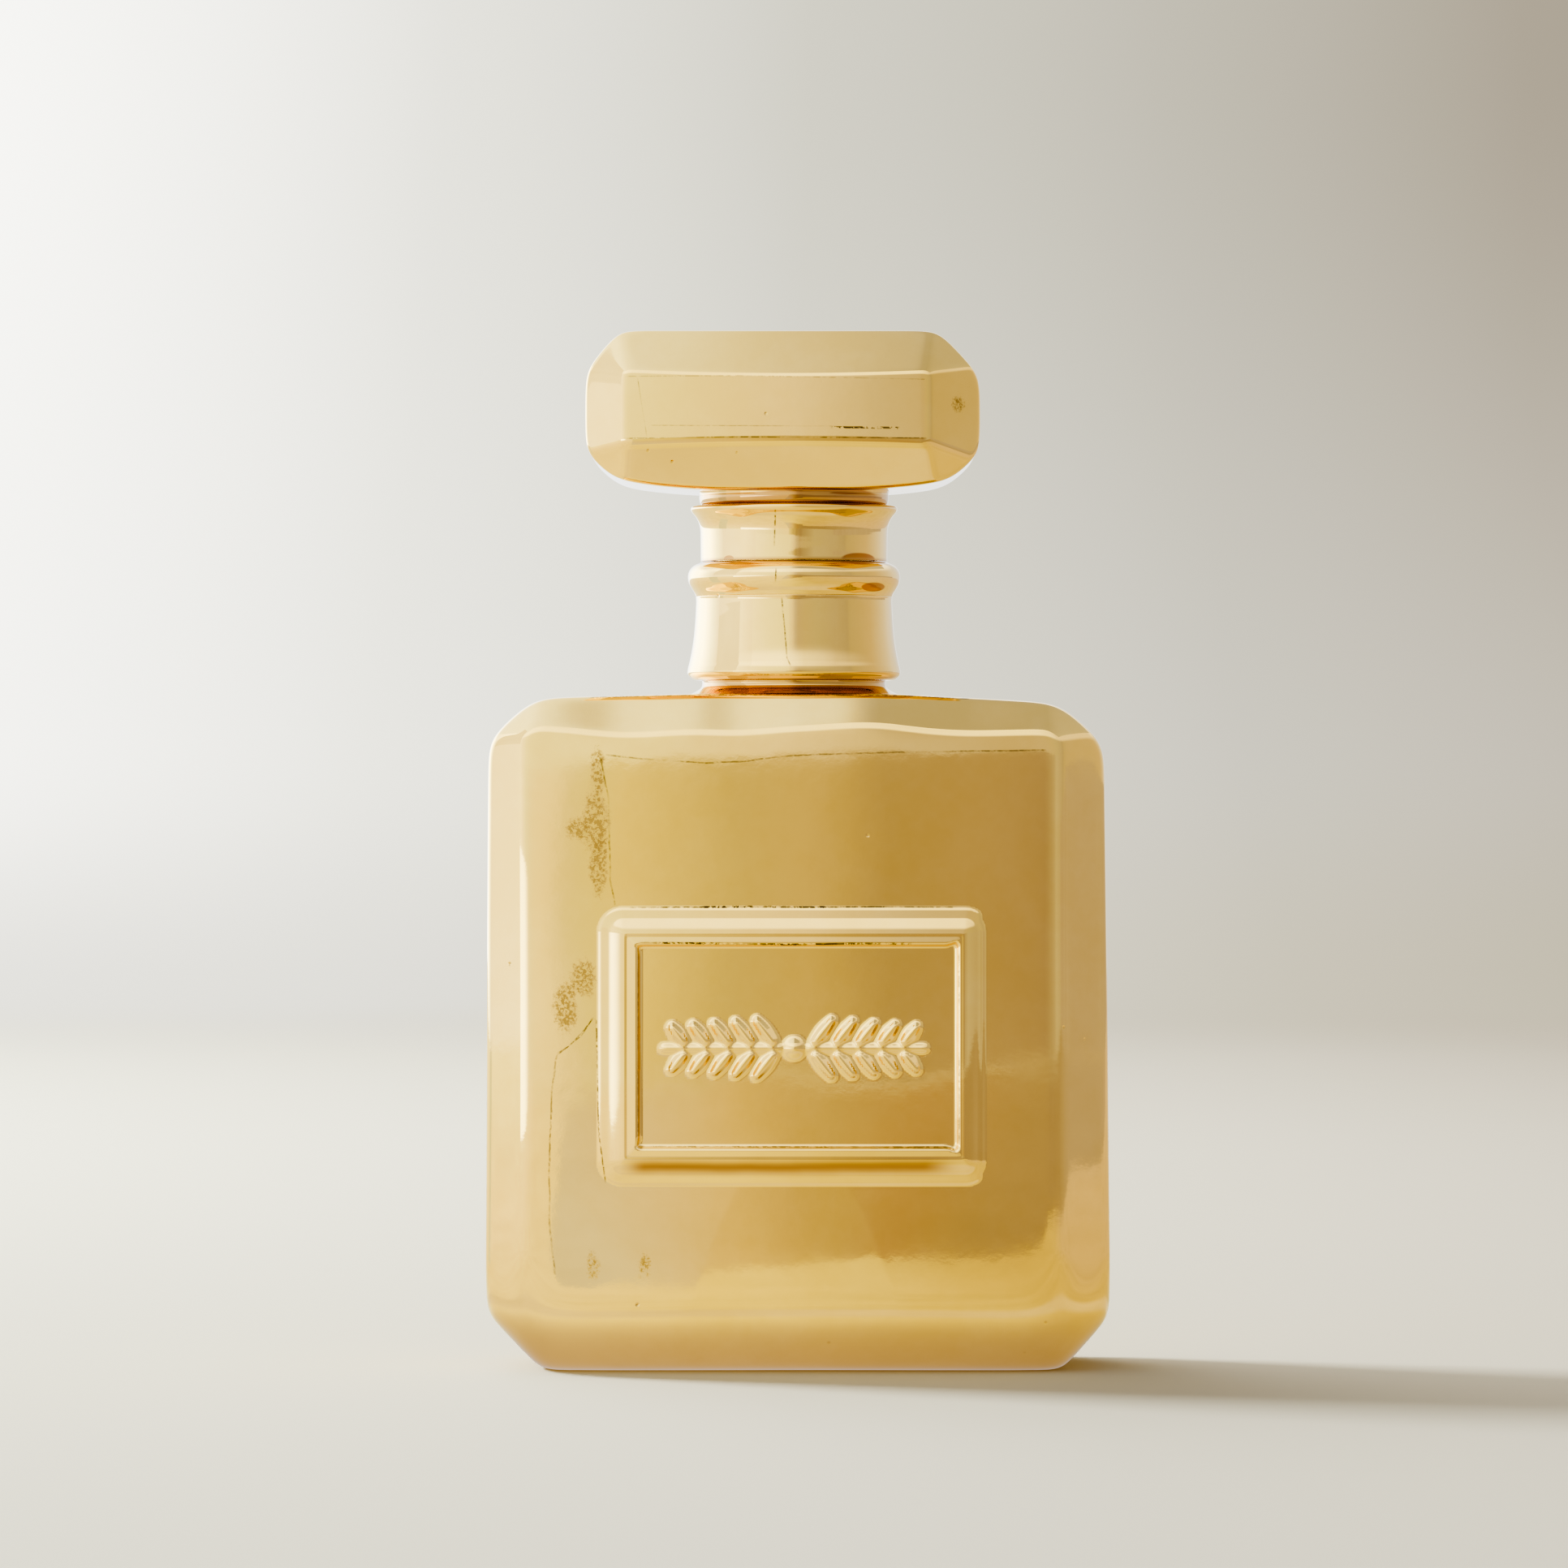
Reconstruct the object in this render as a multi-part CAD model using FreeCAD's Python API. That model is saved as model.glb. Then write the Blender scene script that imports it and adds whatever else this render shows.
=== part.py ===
# Perfume bottle with a crimped fine-mist pump under a pull-off cap.
# Units are millimetres. Origin: centre of the base. +Z up, the front panel faces -Y, +X to the right.
import FreeCAD, Part
import math
import os

V = FreeCAD.Vector
os.makedirs("parts", exist_ok=True)

# ---------------------------------------------------------------- driving dimensions
# Flask, an octagonal bevelled block with a raised frame on its front
FLASK_W = 86.0            # widest, just above the bottom corner cuts
FLASK_W_TOP = 85.2        # width under the top corner cuts: the sides draw in slightly
FLASK_D = 40.0            # front to back
SHOULDER_Z = 94.4         # shoulder height beside the neck
SHOULDER_EDGE_Z = 93.4    # shoulder height at the corner cuts
CUT_BOTTOM = (7.5, 7.7)   # corner cut at the bottom, along X and Z
CUT_TOP = (6.2, 5.7)      # corner cut at the top, along X and Z
BEVEL_SIDE = 5.9          # how far each bevel runs in from the outline, seen from the front
BEVEL_TOP = 5.3
BEVEL_BOTTOM = 5.4
BEVEL_DEPTH = 5.4         # how far each bevel runs back from the front face
EDGE_R = 1.5              # softening of the flask's edges
WALL_SIDE = 8.5
WALL_FACE = 8.0
FLOOR_T = 10.5
CAVITY_TOP_Z = 83.0
BORE_R = 6.5              # mouth of the flask
PUNT_DEPTH = 1.0          # recess in the base, inside the standing ring
PUNT_HALF = (28.5, 8.8)

# Raised frame and sprig on the front panel
FRAME_HALF_W = 24.3       # to the centre line of the moulding
FRAME_Z = (29.0, 61.8)    # centre lines of the lower and upper mouldings
FRAME_R = 2.05            # section radius of the moulding
FRAME_SUNK = 0.95         # how far its centre line lies behind the panel
SPRIG_Z = 45.2
SPRIG_STEP = 3.1
LEAF_R = 0.95
LEAF_SUNK = 0.25

# Neck and crimp finish
ROOT_R = 13.4
UNDERCUT_R = 12.3
LEDGE_Z = 96.3
NECK_R = 8.2
NECK_BEAD_R = 9.4
NECK_BEAD_Z = (101.5, 104.3)

# Pump
FLANGE_R = 9.2
FERRULE_R = (9.45, 9.80)
PUMP_BORE_R = 3.60
STEM_R = 1.75
STEM_BORE_R = 0.80
STEM_TOP_Z = 117.0
STROKE = 4.5
BALL_R = 1.0
BALL_Z = 87.22
SPRING_Z = (89.02, 98.98)
SPRING_R = 2.50
SPRING_WIRE_R = 0.30
SPRING_TURNS = 5.5
DIP_R = (0.90, 1.30)
DIP_Z = (12.5, 85.0)
DIP_BEND_Z, DIP_BEND_R = 80.0, 14.0      # the bend starts where the housing ends
DIP_SLANT = math.radians(22.7)

# Spray button
BUTTON_R = 8.0
BUTTON_Z = (111.5, 124.6)
NOZZLE_Z = 121.4
NOZZLE_R = 2.2

# Collar
SLEEVE_R = (10.58, 11.05)
SLEEVE_TOP_Z = 116.2
KEY = (0.30, 1.0)         # the two cap keys on the sleeve: how far they stand out, and their width
BAND_Z = (96.4, 108.2)
BEAD_Z = (108.2, 113.05)

# Cap, an octagonal bevelled block on a waisted skirt
CAP_BOTTOM_Z = 113.1
SKIRT_TOP_Z = 121.6
CAP_W = 54.4
CAP_D = 36.6
CAP_OFFSET_X = -1.2       # the block stands a little left of the neck's axis
CAP_Z = (123.3, 145.0)
CAP_CUT_TOP = (5.9, 6.2)
CAP_CUT_BOTTOM = (5.6, 5.4)
CAP_BEVEL_SIDE = 5.9
CAP_BEVEL_TOP = 6.3
CAP_BEVEL_BOTTOM = 6.5
CAP_BEVEL_DEPTH = 4.8
CAP_EDGE_R = 1.5
STUB_R = 13.0
CAP_BORE_R = 11.85
CAP_BORE_TOP_Z = 135.5
LINER_R = (10.2, 11.80)
LINER_CEILING_Z = 129.4


# ---------------------------------------------------------------- helpers
def face_of(points):
    """Closed planar face through straight runs."""
    pts = [V(*p) for p in points]
    return Part.Face(Part.makePolygon(pts + [pts[0]]))


def turned(profile):
    """Solid turned about Z from (radius, height) points joined by straight runs."""
    return face_of([(r, 0, z) for r, z in profile]).revolve(V(0, 0, 0), V(0, 0, 1), 360)


def turned_smooth(outer, closing):
    """Solid turned about Z: a smooth curve through the outer points, closed by straight runs through the closing points."""
    curve = Part.BSplineCurve()
    curve.interpolate([V(r, 0, z) for r, z in outer])
    pts = [V(outer[-1][0], 0, outer[-1][1])] + [V(r, 0, z) for r, z in closing] + [V(outer[0][0], 0, outer[0][1])]
    edges = [curve.toShape()] + [Part.LineSegment(a, b).toShape() for a, b in zip(pts, pts[1:])]
    face = Part.Face(Part.Wire(edges))
    return face.revolve(V(0, 0, 0), V(0, 0, 1), 360)


def tube(r_in, r_out, z0, z1):
    return Part.makeCylinder(r_out, z1 - z0, V(0, 0, z0)).cut(Part.makeCylinder(r_in, z1 - z0, V(0, 0, z0)))


def below_plane(solid, point, normal):
    """What is left of the solid behind a plane."""
    size = 400.0
    block = Part.makeBox(size, size, size, V(-size / 2, -size / 2, 0))
    block.Placement = FreeCAD.Placement(V(*point), FreeCAD.Rotation(V(0, 0, 1), V(*normal)))
    return solid.cut(block)


def capsule(a, b, r):
    """Rod with ball ends."""
    a, b = V(*a), V(*b)
    d = b.sub(a)
    body = Part.makeCylinder(r, d.Length, a, d)
    return body.fuse([Part.makeSphere(r, a), Part.makeSphere(r, b)])


def drawn_in(outline, r):
    """The outline with every side moved inwards by r."""
    n = len(outline)
    lines = []
    for i in range(n):
        (x0, z0), (x1, z1) = outline[i], outline[(i + 1) % n]
        length = math.hypot(x1 - x0, z1 - z0)
        nx, nz = (z1 - z0) / length, -(x1 - x0) / length
        lines.append((nx, nz, nx * x0 + nz * z0 - r))
    out = []
    for i in range(n):
        (a, b, c), (d, e, f) = lines[i - 1], lines[i]
        det = a * e - b * d
        out.append(((c * e - b * f) / det, (a * f - c * d) / det))
    return out


def cut_block(outline, insets, half_depth, bevel_depth, r):
    """Prism along Y over an X-Z outline, bevelled front and back, every edge rounded to r.
    Each outline side's bevel runs in by its inset."""
    inner = drawn_in(outline, r)
    h = half_depth - r
    solid = Part.Face(Part.makePolygon([V(x, -h, z) for x, z in inner + inner[:1]])).extrude(V(0, 2 * h, 0))
    n = len(outline)
    for i in range(n):
        (x0, z0), (x1, z1) = outline[i], outline[(i + 1) % n]
        length = math.hypot(x1 - x0, z1 - z0)
        nx, nz = (z1 - z0) / length, -(x1 - x0) / length
        inset = insets[i]
        for side in (-1, 1):
            normal = V(nx * bevel_depth, side * inset, nz * bevel_depth)
            normal.normalize()
            point = V(x0, side * (half_depth - bevel_depth), z0).sub(normal * r)
            solid = below_plane(solid, (point.x, point.y, point.z), (normal.x, normal.y, normal.z))
    if r <= 0:
        return solid
    return solid.makeOffsetShape(r, 1e-4, False, False, 0, 0)


def save(shape, name):
    shape = shape.removeSplitter() if shape.ShapeType != "Solid" else shape
    solids = shape.Solids
    assert solids and all(s.isValid() and s.Volume > 0 for s in solids), name
    out = solids[0] if len(solids) == 1 else Part.makeCompound(solids)
    out.exportStep("parts/%s.step" % name)
    b = out.BoundBox
    print("%-14s solids %d volume %.2f  x %.2f..%.2f y %.2f..%.2f z %.2f..%.2f" % (
        name, len(solids), out.Volume, b.XMin, b.XMax, b.YMin, b.YMax, b.ZMin, b.ZMax))
    return out


# ---------------------------------------------------------------- flask
def flask():
    w, wt, d = FLASK_W / 2, FLASK_W_TOP / 2, FLASK_D / 2
    cbx, cbz = CUT_BOTTOM
    ctx, ctz = CUT_TOP
    neck_x = ROOT_R
    # Outline, anticlockwise seen from the front: bottom, right, top, left
    outline = [
        (-w + cbx, 0.0), (w - cbx, 0.0), (w, cbz),
        (wt, SHOULDER_EDGE_Z - ctz), (wt - ctx, SHOULDER_EDGE_Z),
        (neck_x, SHOULDER_Z), (-neck_x, SHOULDER_Z),
        (-wt + ctx, SHOULDER_EDGE_Z), (-wt, SHOULDER_EDGE_Z - ctz), (-w, cbz),
    ]

    def corner_inset(cut, a, b):
        # distance from the cut line to the panel's corner, which lies a in along X and b in along Z
        return (a * cut[1] + b * cut[0] - cut[0] * cut[1]) / math.hypot(*cut)

    cb = max(2.6, corner_inset(CUT_BOTTOM, BEVEL_SIDE, BEVEL_BOTTOM))
    ct = corner_inset(CUT_TOP, BEVEL_SIDE, BEVEL_TOP)
    insets = [BEVEL_BOTTOM, cb, BEVEL_SIDE, ct, BEVEL_TOP, BEVEL_TOP, BEVEL_TOP, ct, BEVEL_SIDE, cb]
    body = cut_block(outline, insets, d, BEVEL_DEPTH, EDGE_R)

    # Root of the neck, crimp finish and mouth
    neck = turned([
        (0, SHOULDER_Z - 3), (ROOT_R, SHOULDER_Z - 3), (ROOT_R, SHOULDER_Z + 0.2), (UNDERCUT_R + 0.35, SHOULDER_Z + 0.7),
        (UNDERCUT_R, SHOULDER_Z + 1.2), (UNDERCUT_R, LEDGE_Z), (NECK_R, LEDGE_Z), (NECK_R, NECK_BEAD_Z[0] - 0.4),
        (NECK_BEAD_R - 0.3, NECK_BEAD_Z[0]), (NECK_BEAD_R, NECK_BEAD_Z[0] + 0.3), (NECK_BEAD_R, NECK_BEAD_Z[1] - 0.5),
        (NECK_BEAD_R - 0.5, NECK_BEAD_Z[1]), (0, NECK_BEAD_Z[1]),
    ])
    body = body.fuse(neck)

    # Raised frame on the front panel
    y = -d + FRAME_SUNK
    a, (z0, z1) = FRAME_HALF_W, FRAME_Z
    corners = [(-a, y, z0), (a, y, z0), (a, y, z1), (-a, y, z1)]
    for p, q in zip(corners, corners[1:] + corners[:1]):
        body = body.fuse(Part.makeCylinder(FRAME_R, V(*q).sub(V(*p)).Length, V(*p), V(*q).sub(V(*p))))
    body = body.fuse([Part.makeSphere(FRAME_R, V(*p)) for p in corners])

    # Leaf sprig inside the frame: a stem with paired leaves and a berry at the middle
    y = -d + LEAF_SUNK
    sprig = []
    for side in (-1, 1):
        for k in range(5):
            x = side * (2.6 + SPRIG_STEP * k)
            length = 3.0 - 0.25 * k
            for up in (-1, 1):
                sprig.append(capsule(
                    (x + side * 0.5, y, SPRIG_Z + up * 1.2),
                    (x + side * (0.5 + 0.62 * length), y, SPRIG_Z + up * (1.2 + 0.80 * length)), LEAF_R))
        sprig.append(capsule((side * 2.2, -d + 0.3, SPRIG_Z), (side * 17.8, -d + 0.3, SPRIG_Z), 0.62))
    body = body.fuse(sprig)
    body = body.fuse(Part.makeSphere(1.5, V(0, -d + 0.75, SPRIG_Z)))

    # Inside: heavy walls round an octagonal cavity that opens through the neck
    iw, idp = FLASK_W / 2 - WALL_SIDE, FLASK_D / 2 - WALL_FACE
    c = 6.0
    cavity = cut_block(
        [(-iw + c, FLOOR_T), (iw - c, FLOOR_T), (iw, FLOOR_T + c), (iw, CAVITY_TOP_Z - c), (iw - c, CAVITY_TOP_Z),
         (-iw + c, CAVITY_TOP_Z), (-iw, CAVITY_TOP_Z - c), (-iw, FLOOR_T + c)],
        [3.5] * 8, idp, 3.5, 1.5)
    body = body.cut(cavity)
    body = body.cut(Part.makeCylinder(BORE_R, NECK_BEAD_Z[1] - CAVITY_TOP_Z + 3, V(0, 0, CAVITY_TOP_Z - 2)))

    # Recess in the base, inside the standing ring
    px, py = PUNT_HALF
    punt = Part.makeBox(2 * px, 2 * py, PUNT_DEPTH + 1, V(-px, -py, -1))
    punt = punt.makeFillet(4.0, [e for e in punt.Edges if abs(e.Vertexes[0].X - e.Vertexes[1].X) < 1e-6
                                 and abs(e.Vertexes[0].Y - e.Vertexes[1].Y) < 1e-6])
    return body.cut(punt)


save(flask(), "flask")

# ---------------------------------------------------------------- pump, seated on the mouth
top = NECK_BEAD_Z[1]
flange_z = top + 0.8
save(tube(BORE_R + 0.1, NECK_BEAD_R - 0.3, top, flange_z), "neck_gasket")

housing = turned([
    (PUMP_BORE_R, flange_z + 1.0), (FLANGE_R, flange_z + 1.0), (FLANGE_R, flange_z), (5.9, flange_z), (5.9, 97.0),
    (4.7, 95.8), (4.7, 87.6), (2.5, 85.6), (2.3, 80.0), (1.32, 80.0), (1.32, 85.0), (0.6, 85.0), (0.6, 86.0),
    (1.2, 87.5), (1.2, 88.7), (0.75, 88.7), (0.75, 89.0), (PUMP_BORE_R, 89.0),
])
# Vent slot: lets air back into the flask as liquid leaves
housing = housing.cut(Part.makeBox(1.0, 3.6, 2.0, V(-0.5, -6.4, 101.6)))
save(housing, "pump_housing")



def dip_solid(radius, over):
    """Down out of the housing, round a bend, and on to the lower right corner of the hollow."""
    c, s = math.cos(DIP_SLANT), math.sin(DIP_SLANT)
    bend = V(DIP_BEND_R * (1 - c), 0, DIP_BEND_Z - DIP_BEND_R * s)
    run = (bend.z - DIP_Z[0]) / c + over
    half = V(DIP_BEND_R * (1 - math.cos(DIP_SLANT / 2)), 0, DIP_BEND_Z - DIP_BEND_R * math.sin(DIP_SLANT / 2))
    foot = V(bend.x + run * s, 0, bend.z - run * c)
    path = Part.Wire([
        Part.makeLine(V(0, 0, DIP_Z[1] + over), V(0, 0, DIP_BEND_Z)),
        Part.Arc(V(0, 0, DIP_BEND_Z), half, bend).toShape(),
        Part.makeLine(bend, foot),
    ])
    ring = Part.Wire(Part.makeCircle(radius, V(0, 0, DIP_Z[1] + over), V(0, 0, -1)))
    return path.makePipeShell([ring], True, True)


# The lower end is level, and so slantwise to the tube, and can't seal against the floor
dip = dip_solid(DIP_R[1], 3.0).cut(dip_solid(DIP_R[0], 4.0))
dip = dip.common(Part.makeBox(60, 20, DIP_Z[1] - DIP_Z[0], V(-10, -10, DIP_Z[0])))
save(dip, "dip_tube")

save(Part.makeSphere(BALL_R, V(0, 0, BALL_Z)), "inlet_ball")

pitch = (SPRING_Z[1] - SPRING_Z[0] - 2 * SPRING_WIRE_R) / SPRING_TURNS
helix = Part.makeHelix(pitch, pitch * SPRING_TURNS, SPRING_R)
helix.translate(V(0, 0, SPRING_Z[0] + SPRING_WIRE_R))
along = V(0, 2 * math.pi * SPRING_R, pitch)
section = Part.Wire(Part.makeCircle(SPRING_WIRE_R, V(SPRING_R, 0, SPRING_Z[0] + SPRING_WIRE_R), along))
spring = Part.Wire(helix).makePipeShell([section], True, True)
save(spring, "return_spring")

# Stem: a bored tube with a spring seat at its foot and a cross hole that the piston covers
stem = turned([
    (STEM_BORE_R, 100.4), (STEM_BORE_R, STEM_TOP_Z), (STEM_R, STEM_TOP_Z), (STEM_R, 99.7), (2.95, 99.7), (2.95, 99.0),
    (1.0, 99.0), (1.0, 98.4), (0, 98.4), (0, 100.4),
])
stem = stem.cut(Part.makeCylinder(0.35, 6, V(-3, 0, 101.4), V(1, 0, 0)))
save(stem, "stem")

piston = turned([
    (STEM_R + 0.01, 99.7), (3.0, 99.7), (PUMP_BORE_R - 0.03, 99.75), (PUMP_BORE_R - 0.03, 100.6), (3.0, 101.1), (3.0, 102.4),
    (PUMP_BORE_R - 0.03, 102.9), (PUMP_BORE_R - 0.03, 103.7), (3.1, 103.7), (2.7, 102.7), (2.3, 102.9), (2.3, 103.5),
    (STEM_R + 0.01, 103.5),
])
save(piston, "piston")

closure = turned([
    (STEM_R + 0.07, 104.0), (PUMP_BORE_R - 0.02, 104.0), (PUMP_BORE_R - 0.02, flange_z + 1.0), (5.0, flange_z + 1.0),
    (5.0, flange_z + 1.9), (STEM_R + 0.07, flange_z + 1.9),
])
save(closure, "pump_closure")
save(tube(STEM_R + 0.05, 4.2, flange_z + 1.9, flange_z + 2.6), "stem_gasket")

fi, fo = FERRULE_R
f0 = flange_z + 1.0
ferrule = turned([
    (8.7, 100.2), (fo, 99.9), (fo, f0 + 0.4), (5.5, f0 + 0.4), (5.5, f0 + 2.1), (2.05, f0 + 2.1), (2.05, f0 + 1.65),
    (5.05, f0 + 1.65), (5.05, f0), (fi, f0), (fi, NECK_BEAD_Z[0] - 0.2), (8.8, 100.75),
])
save(ferrule, "crimp_ferrule")

# ---------------------------------------------------------------- spray button
b0, b1 = BUTTON_Z
core_r = BUTTON_R - 0.5
core = turned([
    (STEM_R + 0.02, 113.3), (3.2, 113.3), (3.2, 117.9), (6.3, 117.9), (6.3, b0 + 0.3), (core_r, b0 + 0.3), (core_r, b1 - 0.5),
    (0, b1 - 0.5), (0, 118.2), (0.7, 118.2), (0.7, STEM_TOP_Z + 0.05), (STEM_R + 0.02, STEM_TOP_Z + 0.05),
])
# Pocket for the nozzle and the channel from the stem to it
core = core.cut(Part.makeCylinder(NOZZLE_R, 4.2, V(0, -core_r + 3.4, NOZZLE_Z), V(0, -1, 0)))
core = core.cut(Part.makeCylinder(0.7, NOZZLE_Z - 118.0, V(0, 0, 118.1)))
core = core.cut(Part.makeCylinder(0.6, core_r - 3.0, V(0, 0.4, NOZZLE_Z), V(0, -1, 0)))
save(core, "button_core")

sleeve = turned([
    (core_r + 0.02, b0), (BUTTON_R - 0.15, b0), (BUTTON_R, b0 + 0.15), (BUTTON_R, b1 - 0.9), (BUTTON_R - 0.28, b1 - 0.24),
    (BUTTON_R - 0.9, b1), (0, b1), (0, b1 - 0.48), (core_r + 0.02, b1 - 0.48),
])
# Finger dish in the top and the window that the nozzle looks through
sleeve = sleeve.cut(Part.makeSphere(60.0, V(0, 0, b1 + 60.0 - 0.22)))
sleeve = sleeve.cut(Part.makeCylinder(NOZZLE_R + 0.25, 4.0, V(0, -core_r + 1.5, NOZZLE_Z), V(0, -1, 0)))
save(sleeve, "button_sleeve")

nozzle = Part.makeCylinder(NOZZLE_R - 0.01, 3.3, V(0, -core_r + 3.38, NOZZLE_Z), V(0, -1, 0))
nozzle = nozzle.cut(Part.makeCone(1.25, 0.35, 0.8, V(0, -core_r + 0.07, NOZZLE_Z), V(0, 1, 0)))
nozzle = nozzle.cut(Part.makeCylinder(0.2, 4, V(0, -core_r - 0.2, NOZZLE_Z), V(0, 1, 0)))
nozzle = nozzle.cut(Part.makeCylinder(1.3, 2.0, V(0, -core_r + 3.4, NOZZLE_Z), V(0, -1, 0)))
save(nozzle, "nozzle_insert")

# ---------------------------------------------------------------- collar
si, so = SLEEVE_R
ins = turned([
    (fo + 0.03, 97.3), (si - 0.03, 97.3), (si - 0.03, 115.6), (9.3, 115.6), (9.3, 114.9), (fo + 0.03, 114.3),
    (fo + 0.03, f0 + 1.0), (8.6, f0 + 1.0), (8.6, f0 + 0.42), (fo + 0.03, f0 + 0.42),
])
save(ins, "collar_insert")

tower = turned([
    (si, 97.2), (so, 97.2), (so, SLEEVE_TOP_Z - 0.35), (so - 0.35, SLEEVE_TOP_Z), (9.2, SLEEVE_TOP_Z), (9.2, 115.62), (si, 115.62),
])
# Two keys hold the cap's block in line with the flask
kz = (BEAD_Z[1] + 0.1, SLEEVE_TOP_Z - 0.6)
for side in (-1, 1):
    x = so - 0.3 if side > 0 else -so - KEY[0]
    tower = tower.fuse(Part.makeBox(KEY[0] + 0.3, KEY[1], kz[1] - kz[0], V(x, -KEY[1] / 2, kz[0])))
save(tower, "collar_sleeve")

z0, z1 = BAND_Z
band = turned_smooth(
    [(13.35, z0), (14.15, z0 + 0.35), (14.6, z0 + 1.1), (14.3, z0 + 2.5), (13.92, z0 + 4.2), (13.62, z0 + 6.4),
     (13.47, z0 + 9.0), (13.42, z1)],
    [(so + 0.03, z1), (so + 0.03, z1 - 0.8), (12.35, z1 - 0.8), (12.35, z0 + 0.75), (so + 0.1, z0 + 0.75), (so + 0.1, z0)])
save(band, "collar_band")

z0, z1 = BEAD_Z
bead = turned_smooth(
    [(13.42, z0), (13.62, z0 + 0.55), (14.15, z0 + 1.25), (14.5, z0 + 2.2), (14.42, z0 + 3.15), (13.95, z0 + 3.95),
     (13.25, z0 + 4.45), (12.7, z1)],
    [(so + 0.03, z1), (so + 0.03, z0)])
save(bead, "collar_bead")

# ---------------------------------------------------------------- cap
z0, z1 = CAP_BOTTOM_Z, SKIRT_TOP_Z
skirt = turned_smooth(
    [(12.62, z0), (12.66, z0 + 0.9), (12.82, z0 + 2.4), (12.95, z0 + 4.0), (13.15, z0 + 5.5), (13.6, z0 + 6.8),
     (14.05, z0 + 7.5), (14.1, z0 + 7.95), (13.7, z1)],
    [(CAP_BORE_R + 0.01, z1), (CAP_BORE_R + 0.01, z0)])
save(skirt, "cap_skirt")

w, (cz0, cz1) = CAP_W / 2, CAP_Z
cbx, cbz = CAP_CUT_BOTTOM
ctx, ctz = CAP_CUT_TOP
cap_outline = [
    (-w + cbx, cz0), (w - cbx, cz0), (w, cz0 + cbz), (w, cz1 - ctz), (w - ctx, cz1),
    (-w + ctx, cz1), (-w, cz1 - ctz), (-w, cz0 + cbz),
]


def cap_corner(cut, b):
    return (CAP_BEVEL_SIDE * cut[1] + b * cut[0] - cut[0] * cut[1]) / math.hypot(*cut)


cb, ct = cap_corner(CAP_CUT_BOTTOM, CAP_BEVEL_BOTTOM), cap_corner(CAP_CUT_TOP, CAP_BEVEL_TOP)
block = cut_block(
    [(x + CAP_OFFSET_X, z) for x, z in cap_outline],
    [CAP_BEVEL_BOTTOM, cb, CAP_BEVEL_SIDE, ct, CAP_BEVEL_TOP, ct, CAP_BEVEL_SIDE, cb],
    CAP_D / 2, CAP_BEVEL_DEPTH, CAP_EDGE_R)
block = block.fuse(Part.makeCylinder(STUB_R, cz0 - z1 + 2, V(0, 0, z1)))
block = block.cut(Part.makeCylinder(CAP_BORE_R, CAP_BORE_TOP_Z - z1, V(0, 0, z1)))
save(block, "cap_shell")

li, lo = LINER_R
liner = turned([
    (so + 0.06, z0 + 0.1), (lo, z0 + 0.1), (lo, LINER_CEILING_Z + 0.8), (0, LINER_CEILING_Z + 0.8), (0, LINER_CEILING_Z),
    (li, LINER_CEILING_Z), (li, 119.0), (so + 0.06, 117.6),
])
# Keyways for the collar sleeve's two keys
for side in (-1, 1):
    x = 10.0 if side > 0 else -(so + KEY[0] + 0.08)
    liner = liner.cut(Part.makeBox(so + KEY[0] + 0.08 - 10.0, KEY[1] + 0.16, 117.3 - z0, V(x, -KEY[1] / 2 - 0.08, z0)))
save(liner, "cap_liner")

weight = tube(3.0, CAP_BORE_R - 0.15, LINER_CEILING_Z + 0.82, LINER_CEILING_Z + 4.8)
save(weight, "cap_weight")
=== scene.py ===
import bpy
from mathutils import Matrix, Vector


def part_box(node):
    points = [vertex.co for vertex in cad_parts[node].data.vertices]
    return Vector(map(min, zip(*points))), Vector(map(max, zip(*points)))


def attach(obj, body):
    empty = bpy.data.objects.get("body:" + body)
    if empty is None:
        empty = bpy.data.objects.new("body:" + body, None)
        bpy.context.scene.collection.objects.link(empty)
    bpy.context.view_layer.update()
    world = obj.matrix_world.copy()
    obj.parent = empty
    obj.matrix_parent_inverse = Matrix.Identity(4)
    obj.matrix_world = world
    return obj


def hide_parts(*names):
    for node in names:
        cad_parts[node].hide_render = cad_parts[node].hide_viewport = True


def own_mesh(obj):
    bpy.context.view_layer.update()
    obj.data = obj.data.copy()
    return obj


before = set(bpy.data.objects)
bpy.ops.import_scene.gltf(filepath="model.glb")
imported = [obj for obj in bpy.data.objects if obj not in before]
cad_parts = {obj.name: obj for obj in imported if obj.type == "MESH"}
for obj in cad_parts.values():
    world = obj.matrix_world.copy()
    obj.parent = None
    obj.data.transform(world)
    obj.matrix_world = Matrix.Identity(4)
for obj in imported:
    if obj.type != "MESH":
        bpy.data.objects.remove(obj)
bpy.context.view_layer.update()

import math

import bpy
import numpy as np
from mathutils import Matrix, Vector

MM = 0.001
scene = bpy.context.scene


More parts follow.
